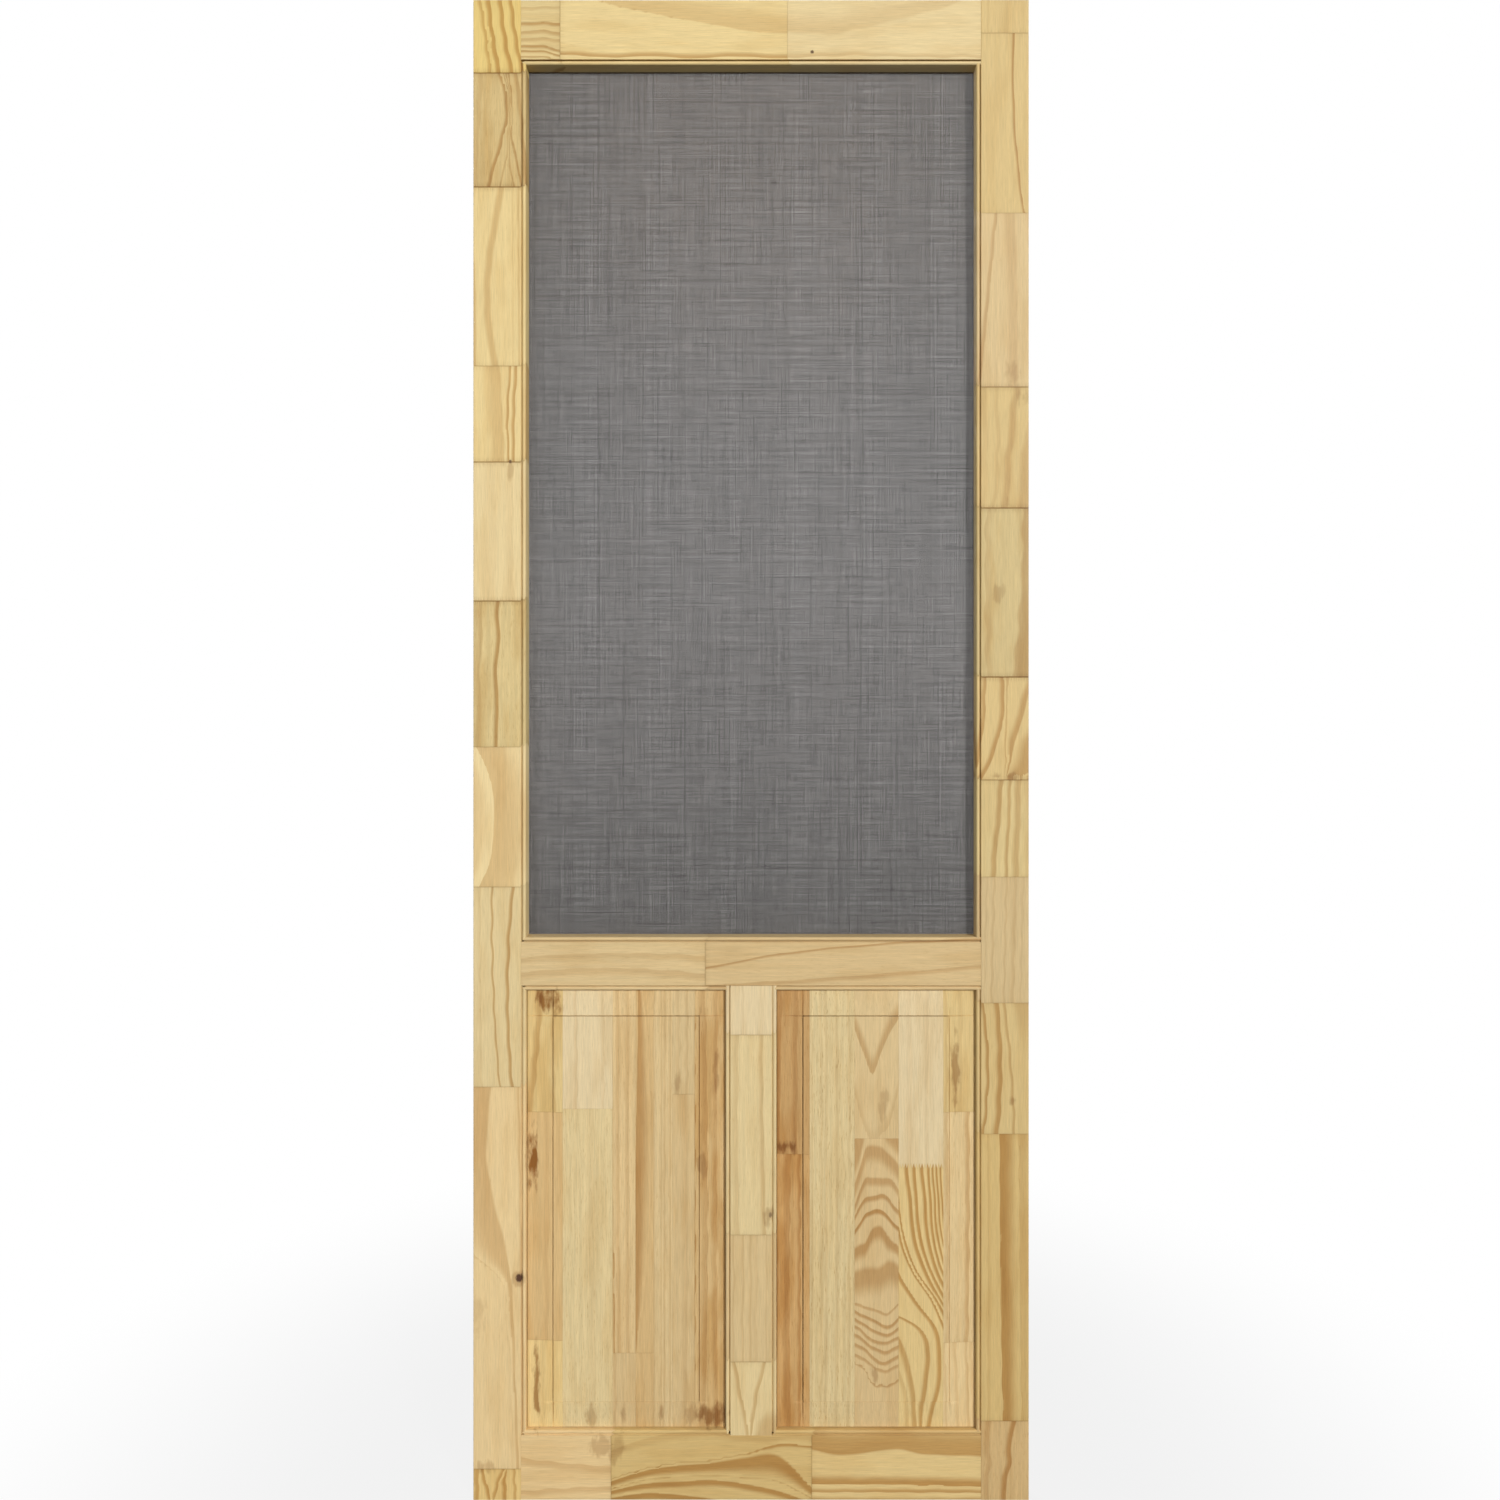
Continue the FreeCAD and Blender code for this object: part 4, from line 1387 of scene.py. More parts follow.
    def members(self) -> Iterator[Member]:
        """Gives the six members in turn."""
        rod = self.rod
        stick, gap = rod.stick, rod.shoulder_gap
        left, right = rod.left - stick, rod.right + stick
        ends = (left + gap, right - gap)
        screen = LipRun(Lip.SCREEN, 1, left, right)
        yield Member(
            "hinge_stile", rod, Axis.UPRIGHT, rod.hinge, left, self.upright_stations(False),
            self.opening_lips(1), self.hinge_blocks, 0)
        yield Member(
            "latch_stile", rod, Axis.UPRIGHT, right, rod.latch, self.upright_stations(True),
            self.opening_lips(-1), self.latch_blocks, 20)
        yield Member(
            "top_rail", rod, Axis.ACROSS, rod.top + stick, rod.head,
            [Station(at, Edge.RABBET, Edge.SQUARE) for at in ends],
            # The screen lip under the top rail gets full painted shade in its quirk, which faces down out of
            # the light.
            [LipRun(Lip.SCREEN, -1, left, right, 1.0)], self.top_blocks, 40)
        yield Member(
            "lock_rail", rod, Axis.ACROSS, rod.lock_low + stick, rod.lock_high - stick,
            [Station(at, Edge.SHOULDER, Edge.RABBET) for at in ends],
            [screen] + self.panel_lips(-1), self.lock_blocks, 50)
        yield Member(
            "bottom_rail", rod, Axis.ACROSS, rod.foot, rod.bottom - stick,
            [Station(at, Edge.SQUARE, Edge.SHOULDER) for at in ends],
            self.panel_lips(1), self.bottom_blocks, 60)
        low, high = rod.bottom - stick, rod.lock_low + stick
        yield Member(
            "centre_muntin", rod, Axis.UPRIGHT, rod.muntin_left + stick, rod.muntin_right - stick,
            [Station(at, Edge.SHOULDER, Edge.SHOULDER) for at in (low + gap, high - gap)],
            [LipRun(lip, side, low, high, PANEL_SHADE) for lip in PANEL_LIPS for side in (-1, 1)],
            self.muntin_blocks, 70)

    def build(self, finish: bpy.types.Material) -> None:
        """Builds every member."""
        for member in self.members():
            member.build(finish)


@dataclass(frozen=True)
class Strip:
    """A strip of a panel: its right edge in mm, and its blocks from the foot."""

    right: float
    blocks: tuple[Block, ...]


@dataclass
class RaisedPanel:
    """A panel glued up from upright strips, raised and fielded on both faces.

    The four values given for the kerf are painted shade: how dark the kerf round the field is made on the
    left, on the right, at the foot and at the head.
    """

    node: str
    strips: tuple[Strip, ...]
    order: int
    painted_shade: tuple[float, float, float, float]
    reach: float = 6.0 * MM
    tongue: float = 4.8 * MM
    crown: float = 8.3 * MM
    field_half: float = 9.5 * MM
    shelf: float = 6.6 * MM
    land: float = 0.4 * MM
    rise: float = 0.6 * MM
    # Painted shade at the panel's edges, where the lips throw shadow.
    edge_painted_shade: float = 0.4
    margin: float = 37.0 * MM
    kerf: float = 1.3 * MM
    kerf_bed: float = 0.7
    bed_slack: float = 0.05
    deep_kerf: float = 2.3 * MM
    slight_kerf: float = 0.7 * MM
    bevel_step: float = 4.5 * MM
    glue_gap: float = 0.05 * MM

    def breaks(self, low: float, high: float, low_kerf: float, high_kerf: float) -> tuple[Array, Array]:
        """Gives the lines where the panel's section breaks along one axis, with its half thickness there.

        From an edge inwards the half thickness is the tongue's up to the land, steps up to the shelf, rises
        in a straight bevel to the crown, drops into the fine kerf that the cutter leaves, and steps up at the
        margin to the field's.

        Args:
            low: The opening's lower sight line.
            high: The opening's higher sight line.
            low_kerf: How deep the kerf is on the lower side.
            high_kerf: How deep it is on the higher side.

        Returns:
            Places of the lines, and the half thicknesses at them.
        """
        margin = self.margin
        inward = np.array([
            -self.reach, self.land, self.land + self.rise,
            margin - self.kerf, margin - self.kerf_bed * self.kerf, margin, margin,
        ])
        halves = [
            np.array([self.tongue, self.tongue, self.shelf, self.crown, bed, bed, self.field_half])
            for bed in (self.crown - low_kerf, self.crown - high_kerf)
        ]
        places = np.concatenate([low + inward, (high - inward)[::-1]])
        return places, np.concatenate([halves[0], halves[1][::-1]])

    def fine_lines(self, low: float, high: float, step: float) -> Array:
        """Gives further lines: at even steps over the bevels, the same from each edge, and over the field."""
        bevel = np.arange(self.land + self.bevel_step, self.margin - self.kerf, self.bevel_step)
        field_low, field_high = low + self.margin, high - self.margin
        inner = np.linspace(field_low, field_high, int((field_high - field_low) / step))[1:-1]
        return np.concatenate([low + bevel, inner, high - bevel])

    def cut_lines(self, lines: tuple[Array, Array], start: float, end: float,
                  more: Array) -> tuple[Array, Array]:
        """Keeps the lines within a block and adds its ends and other lines, by straight interpolation.

        Args:
            lines: Places and half thicknesses of the panel's lines.
            start: The block's lower end.
            end: Its higher end.
            more: Further places to add.

        Returns:
            Places and half thicknesses of the block's lines, in order.
        """
        places, half = lines
        inside = (places > start + MERGE) & (places < end - MERGE)
        extra = np.concatenate([[start], more[(more > start + MERGE) & (more < end - MERGE)], [end]])
        all_places = np.concatenate([places[inside], extra])
        all_half = np.concatenate([half[inside], np.interp(extra, places, half)])
        order = np.argsort(all_places, kind="stable")
        return all_places[order], all_half[order]

    def kerf_painted_shade(self, points: Array, low: Array, high: Array) -> Array:
        """Gives the painted shade of a panel's points in the bed of the kerf and at the lips; all others have
        none.

        Args:
            points: The points.
            low: The opening's left and lower sight lines.
            high: Its right and higher ones.

        Returns:
            The darkness, one value a point.
        """
        place = points[:, ::2]
        inward = np.stack([place - low, high - place], axis=2).reshape(len(points), 4)
        near = inward.min(axis=1)
        outer = self.margin - (self.kerf_bed + self.bed_slack) * self.kerf
        bed = (near > outer) & (near < self.margin + MERGE)
        bed = bed & (np.abs(points[:, 1]) < self.crown - MERGE)
        # Painted shade in the kerf's bed by side, and at the panel's edges.
        painted_shade = np.array(self.painted_shade)[inward.argmin(axis=1)] * bed
        return np.where(near < self.land + MERGE, self.edge_painted_shade, painted_shade)

    def slab(self, across: tuple[Array, Array], upward: tuple[Array, Array], teeth: Array) -> Shell:
        """Makes one block of a strip as a closed slab over a grid of lines.

        The half thickness at a crossing is the lesser of its two lines', so the bevels meet in mitres, and
        each square is cut along the diagonal that joins its thinnest and thickest corner.

        Args:
            across: Places and half thicknesses of the upright lines.
            upward: Places and half thicknesses of the level lines.
            teeth: How far the lower and the higher end reach up at each upright line.

        Returns:
            The closed shell.
        """
        x_lines, x_half = across
        z_lines, z_half = upward
        half = np.minimum(z_half[:, None], x_half[None, :])
        x_grid, z_grid = np.broadcast_arrays(x_lines[None, :], z_lines[:, None])
        z_grid = z_grid.copy()
        z_grid[0] += teeth[0]
        z_grid[-1] += teeth[1]
        front = np.stack([x_grid, -half, z_grid], axis=-1).reshape(-1, 3)
        back = np.stack([x_grid, half, z_grid], axis=-1).reshape(-1, 3)
        rows, columns = half.shape
        number = np.arange(rows * columns).reshape(rows, columns)
        corner = [number[:-1, :-1], number[:-1, 1:], number[1:, 1:], number[1:, :-1]]
        thick = half.ravel()
        slash = np.abs(thick[corner[0]] - thick[corner[2]]) >= np.abs(thick[corner[1]] - thick[corner[3]])
        slash = slash[..., None]
        picks = ((0, 1, 2), (0, 1, 3), (0, 2, 3), (1, 2, 3))
        cuts = [np.stack([corner[i] for i in pick], -1) for pick in picks]
        one, two = np.where(slash, cuts[0], cuts[1]), np.where(slash, cuts[2], cuts[3])
        face = np.concatenate([one.reshape(-1, 3), two.reshape(-1, 3)])
        rim = np.concatenate([number[0], number[1:, -1], number[-1, -2::-1], number[-2:0:-1, 0]])
        after = np.roll(rim, -1)
        behind = rows * columns
        wall = np.stack([rim, rim + behind, after + behind, after], axis=1)
        faces = face.tolist() + (face[:, ::-1] + behind).tolist() + wall.tolist()
        return Shell(np.concatenate([front, back]), faces)

    def build(self, rod: Rod, left: float, right: float, finish: bpy.types.Material) -> bpy.types.Object:
        """Builds the panel's strips and stands it in for its node.

        Args:
            rod: The door's lines.
            left: The opening's left sight line.
            right: The opening's right sight line.
            finish: The pine material.

        Returns:
            The piece.
        """
        x_lines = self.breaks(left, right, self.deep_kerf, self.slight_kerf)
        z_lines = self.breaks(rod.bottom, rod.lock_low, self.slight_kerf, self.deep_kerf)
        x_fine = self.fine_lines(left, right, FACE_STEP)
        z_fine = self.fine_lines(rod.bottom, rod.lock_low, RING_STEP)
        low, high = np.array([left, rod.bottom]), np.array([right, rod.lock_low])
        shells: list[Shell] = []
        x_start = x_lines[0][0]
        order = self.order
        for place, strip in enumerate(self.strips):
            x_end = x_lines[0][-1] if place == len(self.strips) - 1 else strip.right * MM
            z_start = z_lines[0][0]
            teeth_low: Union[float, Array] = 0.0
            joint = 0.0
            for number, block in enumerate(strip.blocks):
                last = number == len(strip.blocks) - 1
                z_end = z_lines[0][-1] if last else block.end * MM
                shown = any(b.fingers is Fingers.SHOWN for b in strip.blocks)
                more = np.arange(x_start, x_end, 0.5 * JOINT.pitch) if shown else x_fine
                across = self.cut_lines(x_lines, x_start + self.glue_gap, x_end - self.glue_gap, more)
                clear = z_fine[z_fine > z_start + JOINT.length + JOINT.gap]
                upward = self.cut_lines(z_lines, z_start, z_end - JOINT.gap * (not last), clear)
                reach = 0.0 * across[0]
                if block.fingers is Fingers.SHOWN:
                    reach = JOINT.zigzag(across[0] - x_start)
                teeth = np.stack([teeth_low + 0.0 * across[0], reach])
                corner = np.array([x_start, rod.front, z_start])
                breadth, length = (x_end - x_start) / MM, (z_end - z_start) / MM
                wood = Wood(block, Axis.UPRIGHT, corner, breadth, length, order, joint)
                slab = self.slab(across, upward, teeth)
                level = np.interp(upward[0], upward[0][[0, -1]], [-1.0, 1.0])
                painted_shade = self.kerf_painted_shade(slab.points, low, high)
                shells.append(slab.of_wood(wood, np.tile(np.repeat(level, len(across[0])), 2), painted_shade))
                teeth_low = reach
                z_start, joint = z_end, block.seam
                order += 1
            x_start = x_end
        piece = make_piece(f"{self.node}_strips", shells, finish)
        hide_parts(self.node)
        return piece


LEFT_STRIPS = (
    Strip(121.7, (
        Block(216.0, Tone.HONEY, 1.15, (Line(36, 34, 36, 0.2, 12),), patches=0.4),
        Block(530.0, Tone.OLIVE, 1.09, (Line(12, 10, 10, 0.3, 9), Line(40, 40, 40, 0.2, 12)), patches=0.4),
        Block(0.0, Tone.HONEY, 1.04, (
            Line(18, 28, 34, 0.6, 13.5), Line(50, 48, 48, 0.3, 7.5),
        ), soft=0.4, patches=0.5),
    )),
    Strip(190.5, (
        Block(535.0, Tone.WHEAT, 1.01, (Line(50, 48, 46, 0.15, 15),), patches=0.3, speck=0.6, seam=0.0),
        Block(0.0, Tone.CREAM, 1.00, (Line(23, 23, 22, 0.3, 7.5), Line(60, 60, 60, 0.2, 6))),
    )),
    Strip(222.1, (
        Block(199.0, Tone.ROSE, 0.99),
        Block(0.0, Tone.ROSE, 1.06, (
            Line(6, 4, 3, 0.8, 5), Line(14, 12, 12, 0.35, 7.5), Line(26, 25, 26, 0.3, 7.5),
        ), waver=0.5, speck=0.6),
    )),
    Strip(246.9, (
        Block(199.0, Tone.OLIVE, 1.03),
        Block(0.0, Tone.OLIVE, 1.03, (
            Line(0.3, 0.6, 6, 0.80, 30), Line(3.5, 22, 11, 0.1, 4),
        ), fade=Fade.AFTER, soft=0.08, waver=0.3, patches=0.4),
    )),
    Strip(273.0, (Block(0.0, Tone.STRAW, 1.02, tuple(
        Line(p, p, p + 1, 0.3, 4) for p in (5, 14, 18, 26)
    ), waver=0.4, speck=0.5),)),
    Strip(303.3, (
        Block(555.0, Tone.ROSE, 0.97, (Line(2, 1, 2, 0.5, 4.5), Line(22, 24, 22, 0.2, 12)), patches=0.4),
        Block(0.0, Tone.STRAW, 0.96, (Line(12, 14, 12, 0.2, 9), Line(24, 24, 25, 0.3, 6)), patches=0.3),
    )),
    Strip(0.0, (Block(0.0, Tone.OLIVE, 1.02, (
        Line(3, 4, 3, 0.7, 6), Line(18, 22, 18, 0.45, 13.5), Line(36, 34, 36, 0.45, 10.5),
    ), patches=0.7, speck=0.6),)),
)
DOMES = (
    Curve((102, 98, 92, 76, 69, 71, 70, 73, 78), 0.70, 7),
    Curve((113, 109, 105, 99, 93, 91, 91, 95, 98), 0.60, 8),
    Curve((128, 124, 120, 111, 104, 101, 103, 107, 111), 0.75, 9),
    Curve((141, 137, 130, 123, 120, 117, 117, 121, 124), 0.75, 9),
    Curve((152, 148, 139, 133, 129, 129, 130, 133, 136), 0.75, 8),
    Curve((162, 157, 153, 147, 143, 141, 140, 143, 149), 0.80, 8),
    Curve((173, 168, 165, 161, 157, 153, 151, 154, 162), 0.85, 8),
    Curve((182, 180, 177, 174, 172, 169, 168, 174, 182), 0.60, 6),
    Curve((232, 235, 237, 237, 236, 240, 247, 246, 240), 0.75, 52),
    Curve((261, 266, 269, 285, 290, 290, 278, 268, 262), 0.85, 30),
    Curve((283, 294, 306, 309, 311, 310, 304, 294, 287), 1.00, 11),
    Curve((303, 318, 328, 329, 330, 333, 330, 318, 310), 0.85, 12),
    Curve((318, 340, 356, 355, 355, 355, 356, 352, 340), 0.70, 18),
    Curve((350, 373, 399, 402, 401, 400, 393, 386, 376), 0.70, 34),
)
SWEEPS = (
    Curve((19.9, 17.2, 9.6, -6, -34, -58, -60, -62, -64, -66, -68), 0.35, 10),
    Curve((30.3, 27.5, 23.4, 14.1, -6, -48, -50, -52, -54, -56, -58), 0.75, 13),
    Curve((35.4, 38.9, 44, 46.8, 32, -36, -44, -46, -48, -50, -52), 0.90, 11),
    Curve((47.5, 54.3, 61.9, 61.9, 55, 27.5, 5.2, -6, -8, -10, -12), 0.95, 10),
    Curve((71.5, 73, 75, 77, 66.4, 50.2, 26.1, 9.6, 2.8, -3, -5), 1.00, 6),
    Curve((78, 80, 82, 84, 75, 56.7, 30.3, 14.8, 6.5, 2.1, -1), 1.00, 7),
    Curve((90, 92, 94, 94, 86, 62, 44, 29.9, 24.4, 20.6, 16.5), 1.00, 9),
    Curve((100, 102, 104, 104, 95, 70, 51, 37.8, 32, 28.9, 26.8), 1.00, 8),
    Curve((110, 112, 114, 112, 102, 78, 59.5, 48.1, 43.3, 40.6, 37.1), 1.00, 8),
    Curve((120, 122, 124, 120, 110, 86, 66, 54.3, 50.2, 47.5, 45.7), 1.00, 6),
    Curve((130, 132, 134, 128, 118, 94, 72, 60.5, 55.4, 53.3, 50.9), 1.00, 5),
    Curve((140, 142, 144, 136, 126, 102, 78, 66, 60.5, 57.8, 56), 1.00, 4),
    Curve((150, 152, 154, 144, 134, 110, 84, 72, 66, 62.5, 61.2), 1.00, 4),
)
RIGHT_STRIPS = (
    Strip(461.5, (
        Block(472.0, Tone.RUSSET, 1.06, (
            Line(8, 12, 10, 0.45, 12), Line(30, 28, 30, 0.5, 15), Line(42, 42, 41, 0.6, 6),
        ), patches=0.8, speck=0.7),
        Block(0.0, Tone.RUSSET, 0.95, (
            Line(14, 16, 18, 0.5, 12), Line(38, 38, 40, 0.5, 12),
        ), patches=0.8, speck=0.7),
    )),
    Strip(523.4, (Block(0.0, Tone.WHEAT, 0.95, tuple(
        Line(p, p + 1, p, 0.22, 6) for p in (7, 20, 26, 41, 58)
    ), waver=0.8, speck=0.9),)),
    Strip(583.9, (
        Block(494.0, Tone.ROSE, 0.98, DOMES, Run.CROSS, soft=0.35, waver=0.7, seam=0.0),
        Block(0.0, Tone.STRAW, 0.98, (
            Curve((150.6, 118.1, 85.5, 116.3, 145.5, 164.4), 0.65, 34),
            Curve((60, 18, -8, 4, 20, 66), 0.25, 26),
        ), Run.CROSS, Fade.AFTER, soft=0.15, waver=2.0),
    )),
    Strip(645.5, (
        Block(453.0, Tone.HONEY, 1.03, SWEEPS, soft=0.35, waver=0.4, fingers=Fingers.SHOWN),
        Block(0.0, Tone.CREAM, 0.95, (Line(20, 22, 20, 0.15, 12), Line(44, 44, 46, 0.15, 9))),
    )),
    Strip(0.0, (
        Block(213.0, Tone.STRAW, 1.11),
        Block(530.0, Tone.STRAW, 1.03, (Line(10, 10, 9, 0.35, 7.5), Line(38, 40, 40, 0.6, 9)), speck=0.6),
        Block(0.0, Tone.HONEY, 0.96, (Line(8, 9, 9, 0.3, 7.5), Line(30, 30, 30, 0.2, 9)), patches=0.4),
    )),
)


@dataclass
class InsectScreen:
    """The stretched screen: flattened yarns in two crossing layers, 18 upright and 16 level to the inch."""

    rod: Rod
    upright_pitch: float = 25.4 * MM / 18.0
    level_pitch: float = 25.4 * MM / 16.0
    width: float = 0.70
    thickness: float = 0.20 * MM
    spans: int = 18
    tight_from: float = 1.25
    tight_over: float = 0.45
    tightness: float = 0.10
    # Painted shade: how much darker the yarns are made toward the foot.
    low_painted_shade: float = 1.2
    slow_sway: float = 0.05 * MM
    quick_sway: float = 0.03 * MM
    yarn_widths: float = 0.03
    run_widths: float = 0.05
    yarn_shades: float = 0.06
    upright_shades: float = 0.10
    level_shades: float = 0.25
    seed: int = 77

    def layer(self, low: float, high: float, start: float, end: float, pitch: float, deep: float,
              upright: bool, rng: np.random.Generator) -> Shell:
        """Makes one layer of parallel yarns.

        A yarn's line sways by two slow sines along its length. Its section is a flat rhombus whose width is
        a share of the pitch, differs from yarn to yarn and along the yarn, and grows toward the foot of the
        screen. Its shade is painted darker toward the foot as well.

        Args:
            low: Where the layer's first yarn lies.
            high: Where its last yarn lies.
            start: Where the yarns start.
            end: Where they end.
            pitch: Distance from yarn to yarn.
            deep: Where the middle of the layer lies, from front to back.
            upright: Whether the yarns stand upright.
            rng: The draw of the yarns' differences.

        Returns:
            The layer's shell.
        """
        count = int(round((high - low) / pitch))
        place = low + (np.arange(count) + 0.5) * (high - low) / count
        run = np.linspace(start, end, self.spans + 1)
        turn = (run - start) / (end - start)
        phase = rng.uniform(0.0, 2.0 * math.pi, (2, count, 1))
        waves = rng.uniform((0.6, 1.6), (1.4, 3.2), (count, 2)).T[..., None]
        sway = self.slow_sway * np.sin(2.0 * math.pi * waves[0] * turn + phase[0])
        sway = sway + self.quick_sway * np.sin(2.0 * math.pi * waves[1] * turn + phase[1])
        half = 1.0 + self.yarn_widths * rng.standard_normal((count, 1)).clip(-2.0, 2.0)
        half = half + self.run_widths * rng.standard_normal((count, len(run))).clip(-2.0, 2.0)
        height = run[None, :] if upright else place[:, None]
        tight = self.tightness * ((self.tight_from - height) / self.tight_over).clip(0.0, 1.0)
        half = 0.5 * pitch * self.width * half.clip(0.7, 1.3) * (1.0 + tight)
        side = np.array([-1.0, 0.0, 1.0, 0.0])
        face = np.array([0.0, -0.5, 0.0, 0.5]) * self.thickness
        across = (place[:, None] + sway)[..., None] + half[..., None] * side
        along = np.broadcast_to(run[None, :, None], across.shape)
        depth = np.broadcast_to(deep + face, across.shape)
        points = np.stack((across, depth, along) if upright else (along, depth, across), axis=-1)
        shell = Shell.swept_many(points)
        uneven = self.upright_shades if upright else self.level_shades
        shade = 1.0 + self.yarn_shades * rng.standard_normal((count, 1))
        shade = shade + uneven * rng.standard_normal((count, len(run)))
        # Painted shade: the yarns darken toward the foot.
        shade = shade.clip(0.5, 1.6) * (1.0 - self.low_painted_shade * tight)
        shell.values["yarn_shade"] = np.repeat(shade.ravel(), len(side))
        return shell

    def build(self, finish: bpy.types.Material) -> bpy.types.Object:
        """Args:
            finish: The yarn material.

        Returns:
            The piece.
        """
        rng = np.random.default_rng(self.seed)
        low, high = self.rod.screen_low, self.rod.screen_high
        upright = self.layer(low[0], high[0], low[2], high[2], self.upright_pitch,
                             low[1] + 0.5 * self.thickness, True, rng)
        level = self.layer(low[2], high[2], low[0], high[0], self.level_pitch,
                           high[1] - 0.5 * self.thickness, False, rng)
        piece = make_piece("screen_yarns", [upright, level], finish, clean=False)
        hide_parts("insect_screen")
        return piece


@dataclass
class ScreenStops:
    """The four mitred stops behind the screen, and the brads that hold them."""

    rod: Rod
    rounding: float = 2.5 * MM
    ease: float = 0.3 * MM
    brad_radius: float = 0.9 * MM
    brad_sunk: float = 0.15 * MM
    brad_every: float = 0.16
    brad_in: float = 4.6 * MM
    brad_deep: float = 1.2 * MM
    brad_dome: float = 0.12 * MM
    brad_taper: float = 0.9
    brad_turn: float = 0.42 * math.pi
    mitre_gap: float = 0.1 * MM
    first_order: int = 140

    def section(self, width: float, front: float, back: float) -> Array:
        """Gives a stop's section as (inward, y) rows: a strip with its inner back corner rounded."""
        turn = np.linspace(0.0, 0.5 * math.pi, 7)
        round_off = np.stack([
            width - self.rounding * (1.0 - np.cos(turn)),
            back - self.rounding * (1.0 - np.sin(turn)),
        ], axis=1)
        plain = np.array([[self.ease, back], [0.0, back - self.ease], [0.0, front], [width, front]])
        return np.concatenate([round_off, plain])

    def stop(self, side: str, order: int, finish: bpy.types.Material) -> bpy.types.Object:
        """Sweeps one stop along its side of the screen, mitred at both ends.

        Args:
            side: top, bottom, left or right.
            order: The stop's number, which seeds its wood.
            finish: The pine material.

        Returns:
            The piece.
        """
        node = f"screen_stop_{side}"
        low, high = (np.array(c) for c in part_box(node))
        upright = side in ("left", "right")
        axis = Axis.UPRIGHT if upright else Axis.ACROSS
        along, cross = (2, 0) if upright else (0, 2)
        section = self.section(high[cross] - low[cross], low[1], high[1])
        inward, deep = section[:, 0], section[:, 1]
        place = low[cross] + inward if side in ("left", "bottom") else high[cross] - inward
        rings = []
        for run in (low[along] + inward + self.mitre_gap, high[along] - inward - self.mitre_gap):
            rings.append(np.stack((place, deep, run) if upright else (run, deep, place), axis=-1))
        block = Block(0.0, Tone.BUFF, 0.97, patches=0.35, seam=0.0)
        breadth, length = (high[cross] - low[cross]) / MM, (high[along] - low[along]) / MM
        wood = Wood(block, axis, low, breadth, length, order)
        many, spans = Shell.filled(np.stack(rings), np.repeat([[-1.0], [1.0]], len(section), axis=1))
        piece = make_piece(f"{node}_strip", [Shell.swept(many).of_wood(wood, spans.ravel())], finish)
        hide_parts(node)
        return piece

    def brads(self, finish: bpy.types.Material) -> bpy.types.Object:
        """Sets brads along the stops: low domes, whose radius and height are a turn's cosine and sine.

        Args:
            finish: The brad material.

        Returns:
            The piece.
        """
        low, high = self.rod.screen_low, self.rod.screen_high
        places = []
        for first, last, fixed, upright in (
            (low[2], high[2], low[0] + self.brad_in, True), (low[2], high[2], high[0] - self.brad_in, True),
            (low[0], high[0], low[2] + self.brad_in, False), (low[0], high[0], high[2] - self.brad_in, False),
        ):
            count = int(round((last - first) / self.brad_every))
            run = first + (np.arange(count) + 0.5) * (last - first) / count
            still = np.full(count, fixed)
            places.append(np.stack((still, run) if upright else (run, still), axis=1))
        spots = np.concatenate(places)
        turn = np.linspace(0.0, 2.0 * math.pi, 12, endpoint=False)
        rise = np.linspace(0.0, self.brad_turn, 4)
        radius = self.brad_radius * np.concatenate([[self.brad_taper], np.cos(rise)])
        dome = -self.brad_sunk + self.brad_dome * np.sin(rise)
        height = self.rod.back + np.concatenate([[-self.brad_deep], dome])
        rings = np.empty((len(spots), len(radius), len(turn), 3))
        rings[..., 0] = spots[:, 0, None, None] + radius[:, None] * np.cos(turn)
        rings[..., 1] = height[:, None]
        rings[..., 2] = spots[:, 1, None, None] + radius[:, None] * np.sin(turn)
        piece = make_piece("stop_brads", [Shell.swept_many(rings)], finish, clean=False)
        return piece

    def build(self, pine: bpy.types.Material, steel: bpy.types.Material) -> None:
        """Builds the four stops and their brads."""
        for number, side in enumerate(("top", "bottom", "left", "right")):
            self.stop(side, self.first_order + number, pine)
        self.brads(steel)


@dataclass(frozen=True)
class Lamp:
    """A square soft lamp: its name, where it hangs, its side and its power in watts."""

    name: str
    at: tuple[float, float, float]
    size: float
    watts: float


LAMPS = (
    Lamp("key_lamp", (4.7, -7.2, 3.5), 1.5, 636.0),
    Lamp("fill_lamp", (-3.0, -4.6, 2.8), 2.6, 100.0),
    Lamp("back_lamp", (-1.2, 3.2, 2.8), 2.0, 175.0),
)


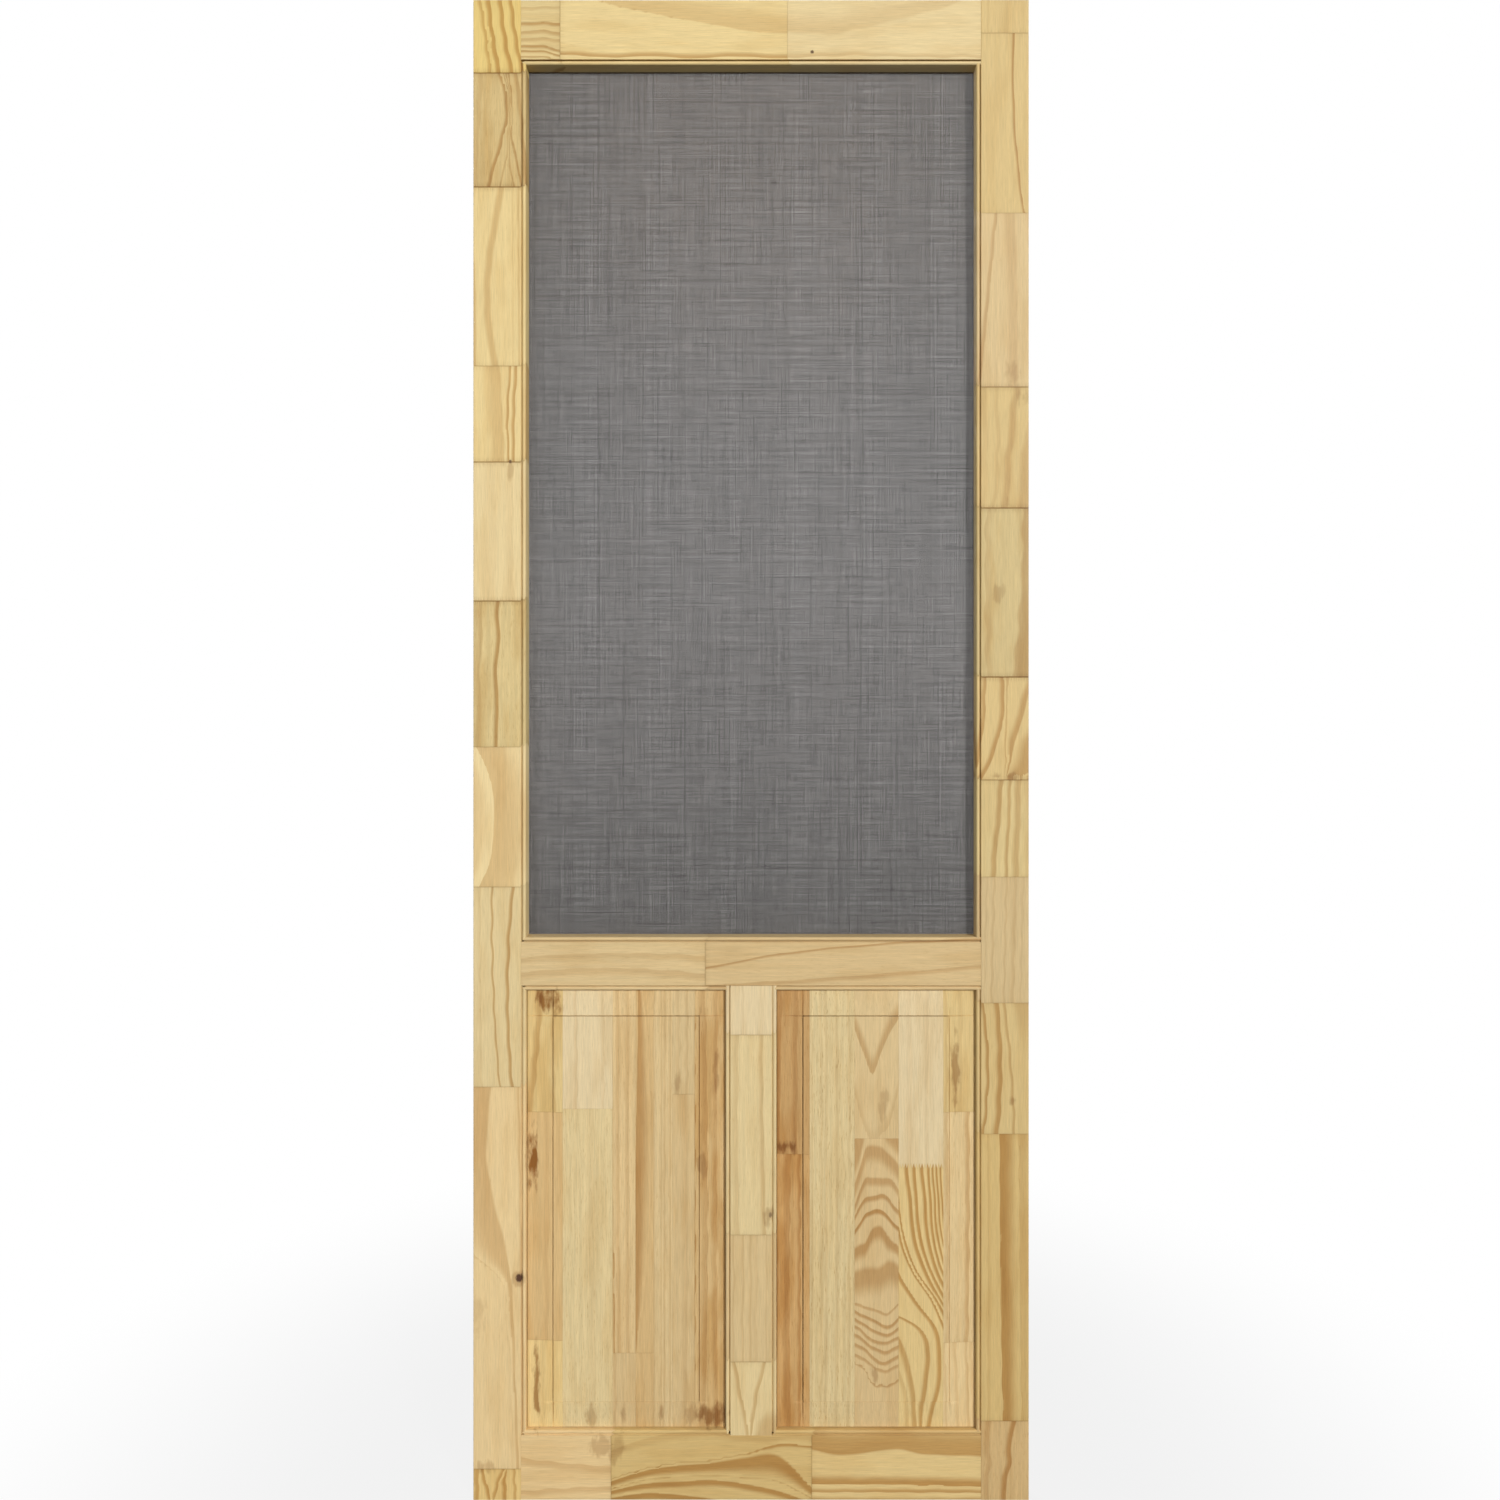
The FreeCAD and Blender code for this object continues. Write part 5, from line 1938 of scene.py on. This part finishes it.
@dataclass
class Studio:
    """The floor, the white surround, the lamps and the camera."""

    rod: Rod
    distance: float = 1.65
    rise: float = 0.09
    drift: float = 0.03
    aside: float = 1.4 * MM
    sensor: float = 36.0
    ambient: float = 0.06
    floor_half: float = 7.0
    floor_drop: float = 0.5 * MM
    floor_grey: Colour = (0.17, 0.17, 0.17, 1.0)
    floor_glow: Step = (0.45, 1.3, 0.86, 1.0)
    aim_height: float = 1.1

    def to_camera(self, tree: bpy.types.NodeTree) -> Socket:
        """Gives 1 for rays that show the surround: from the camera, from gloss and through glass."""
        path = tree.nodes.new("ShaderNodeLightPath")
        seen = path.outputs["Is Camera Ray"]
        for name in ("Is Glossy Ray", "Is Transmission Ray"):
            either = tree.nodes.new("ShaderNodeMath")
            either.operation = "MAXIMUM"
            tree.links.new(seen, either.inputs[0])
            tree.links.new(path.outputs[name], either.inputs[1])
            seen = either.outputs[0]
        return seen

    def surround(self) -> None:
        """Makes the world: white where it is seen, and a soft grey light elsewhere."""
        world = bpy.data.worlds.new("white_surround")
        world.use_nodes = True
        bpy.context.scene.world = world
        tree = world.node_tree
        ground = tree.nodes["Background"]
        ground.inputs["Color"].default_value = (1.0, 1.0, 1.0, 1.0)
        strength = tree.nodes.new("ShaderNodeMapRange")
        tree.links.new(self.to_camera(tree), strength.inputs["Value"])
        strength.inputs["To Min"].default_value = self.ambient
        tree.links.new(strength.outputs[0], ground.inputs["Strength"])

    def floor(self) -> None:
        """Makes the floor: a pale sheet that shows nearly white and keeps a soft shadow."""
        half = self.floor_half
        u, v = np.meshgrid(np.linspace(-half, half, 9), np.linspace(-half, half, 9))
        level = np.full(u.size, -self.floor_drop)
        points = np.stack([u.ravel() + self.rod.centre, v.ravel(), level], axis=1)
        number = np.arange(u.size).reshape(u.shape)
        quads = np.stack([number[:-1, :-1], number[:-1, 1:], number[1:, 1:], number[1:, :-1]], axis=-1)
        mesh = bpy.data.meshes.new("studio_floor")
        mesh.from_pydata(points.tolist(), [], quads.reshape(-1, 4).tolist())
        bench = Bench("floor_sheet")
        matt = bench.add("ShaderNodeBsdfDiffuse")
        bench.feed(matt.inputs["Color"], self.floor_grey)
        glow = bench.add("ShaderNodeEmission")
        bench.feed(glow.inputs["Strength"], 1.0)
        blend = bench.add("ShaderNodeMixShader")
        away = bench.vector("DISTANCE", bench.place(), (self.rod.centre, 0.0, 0.0), out="Value")
        seen = self.to_camera(bench.tree)
        bench.feed(blend.inputs[0], bench.math("MULTIPLY", seen, bench.step(away, *self.floor_glow)))
        bench.tree.links.new(matt.outputs[0], blend.inputs[1])
        bench.tree.links.new(glow.outputs[0], blend.inputs[2])
        mesh.materials.append(bench.close(blend.outputs[0]))
        sheet = bpy.data.objects.new("studio_floor", mesh)
        bpy.context.scene.collection.objects.link(sheet)

    def hang(self, lamp: Lamp) -> None:
        """Hangs a lamp, unseen itself, that points at the door's middle.

        Args:
            lamp: The lamp.
        """
        light = bpy.data.lights.new(lamp.name, "AREA")
        light.shape = "SQUARE"
        light.size = lamp.size
        light.energy = lamp.watts
        hung = bpy.data.objects.new(lamp.name, light)
        bpy.context.scene.collection.objects.link(hung)
        way = np.array([self.rod.centre, 0.0, self.aim_height]) - np.array(lamp.at)
        turn = math.atan2(way[0], -way[1])
        tilt = math.atan2(math.hypot(way[0], way[1]), -way[2])
        hung.rotation_euler = (tilt, 0.0, turn + math.pi)
        hung.location = lamp.at
        hung.visible_camera = False

    def camera(self) -> None:
        """Stands the camera before the door, so that the door's height fills the picture.

        The camera stands a little high and to the right; shifts take the picture back to the door's middle.
        """
        rod = self.rod
        height = rod.head - rod.foot
        eye = bpy.data.cameras.new("front_camera")
        eye.sensor_width = self.sensor
        eye.lens = self.sensor * self.distance / height
        eye.shift_x = -(self.drift + self.aside) / height
        eye.shift_y = -self.rise / height
        camera = bpy.data.objects.new("front_camera", eye)
        bpy.context.scene.collection.objects.link(camera)
        camera.location = (
            rod.centre + self.drift, rod.front - self.distance, rod.foot + 0.5 * height + self.rise)
        camera.rotation_euler = (0.5 * math.pi, 0.0, 0.0)
        bpy.context.scene.camera = camera

    def build(self) -> None:
        """Sets up the whole studio."""
        self.surround()
        self.floor()
        for lamp in LAMPS:
            self.hang(lamp)
        self.camera()
        bpy.context.scene.view_settings.view_transform = "Standard"


def main() -> None:
    """Builds the door and its studio."""
    logging.basicConfig(level=logging.INFO, format="%(name)s: %(message)s")
    rod = Rod.from_frame()
    pine = PineFinish().make()
    Studio(rod).build()
    DoorFrame(rod).build(pine)
    left = RaisedPanel("left_panel", LEFT_STRIPS, order=80, painted_shade=(0.3, 0.6, 0.1, 0.35))
    left.build(rod, rod.left, rod.muntin_left, pine)
    right = RaisedPanel("right_panel", RIGHT_STRIPS, order=110, painted_shade=(0.9, 0.15, 0.1, 0.45))
    right.build(rod, rod.muntin_right, rod.right, pine)
    InsectScreen(rod).build(YarnFinish().make())
    ScreenStops(rod).build(pine, BradFinish().make())


if __name__ == "__main__":
    main()
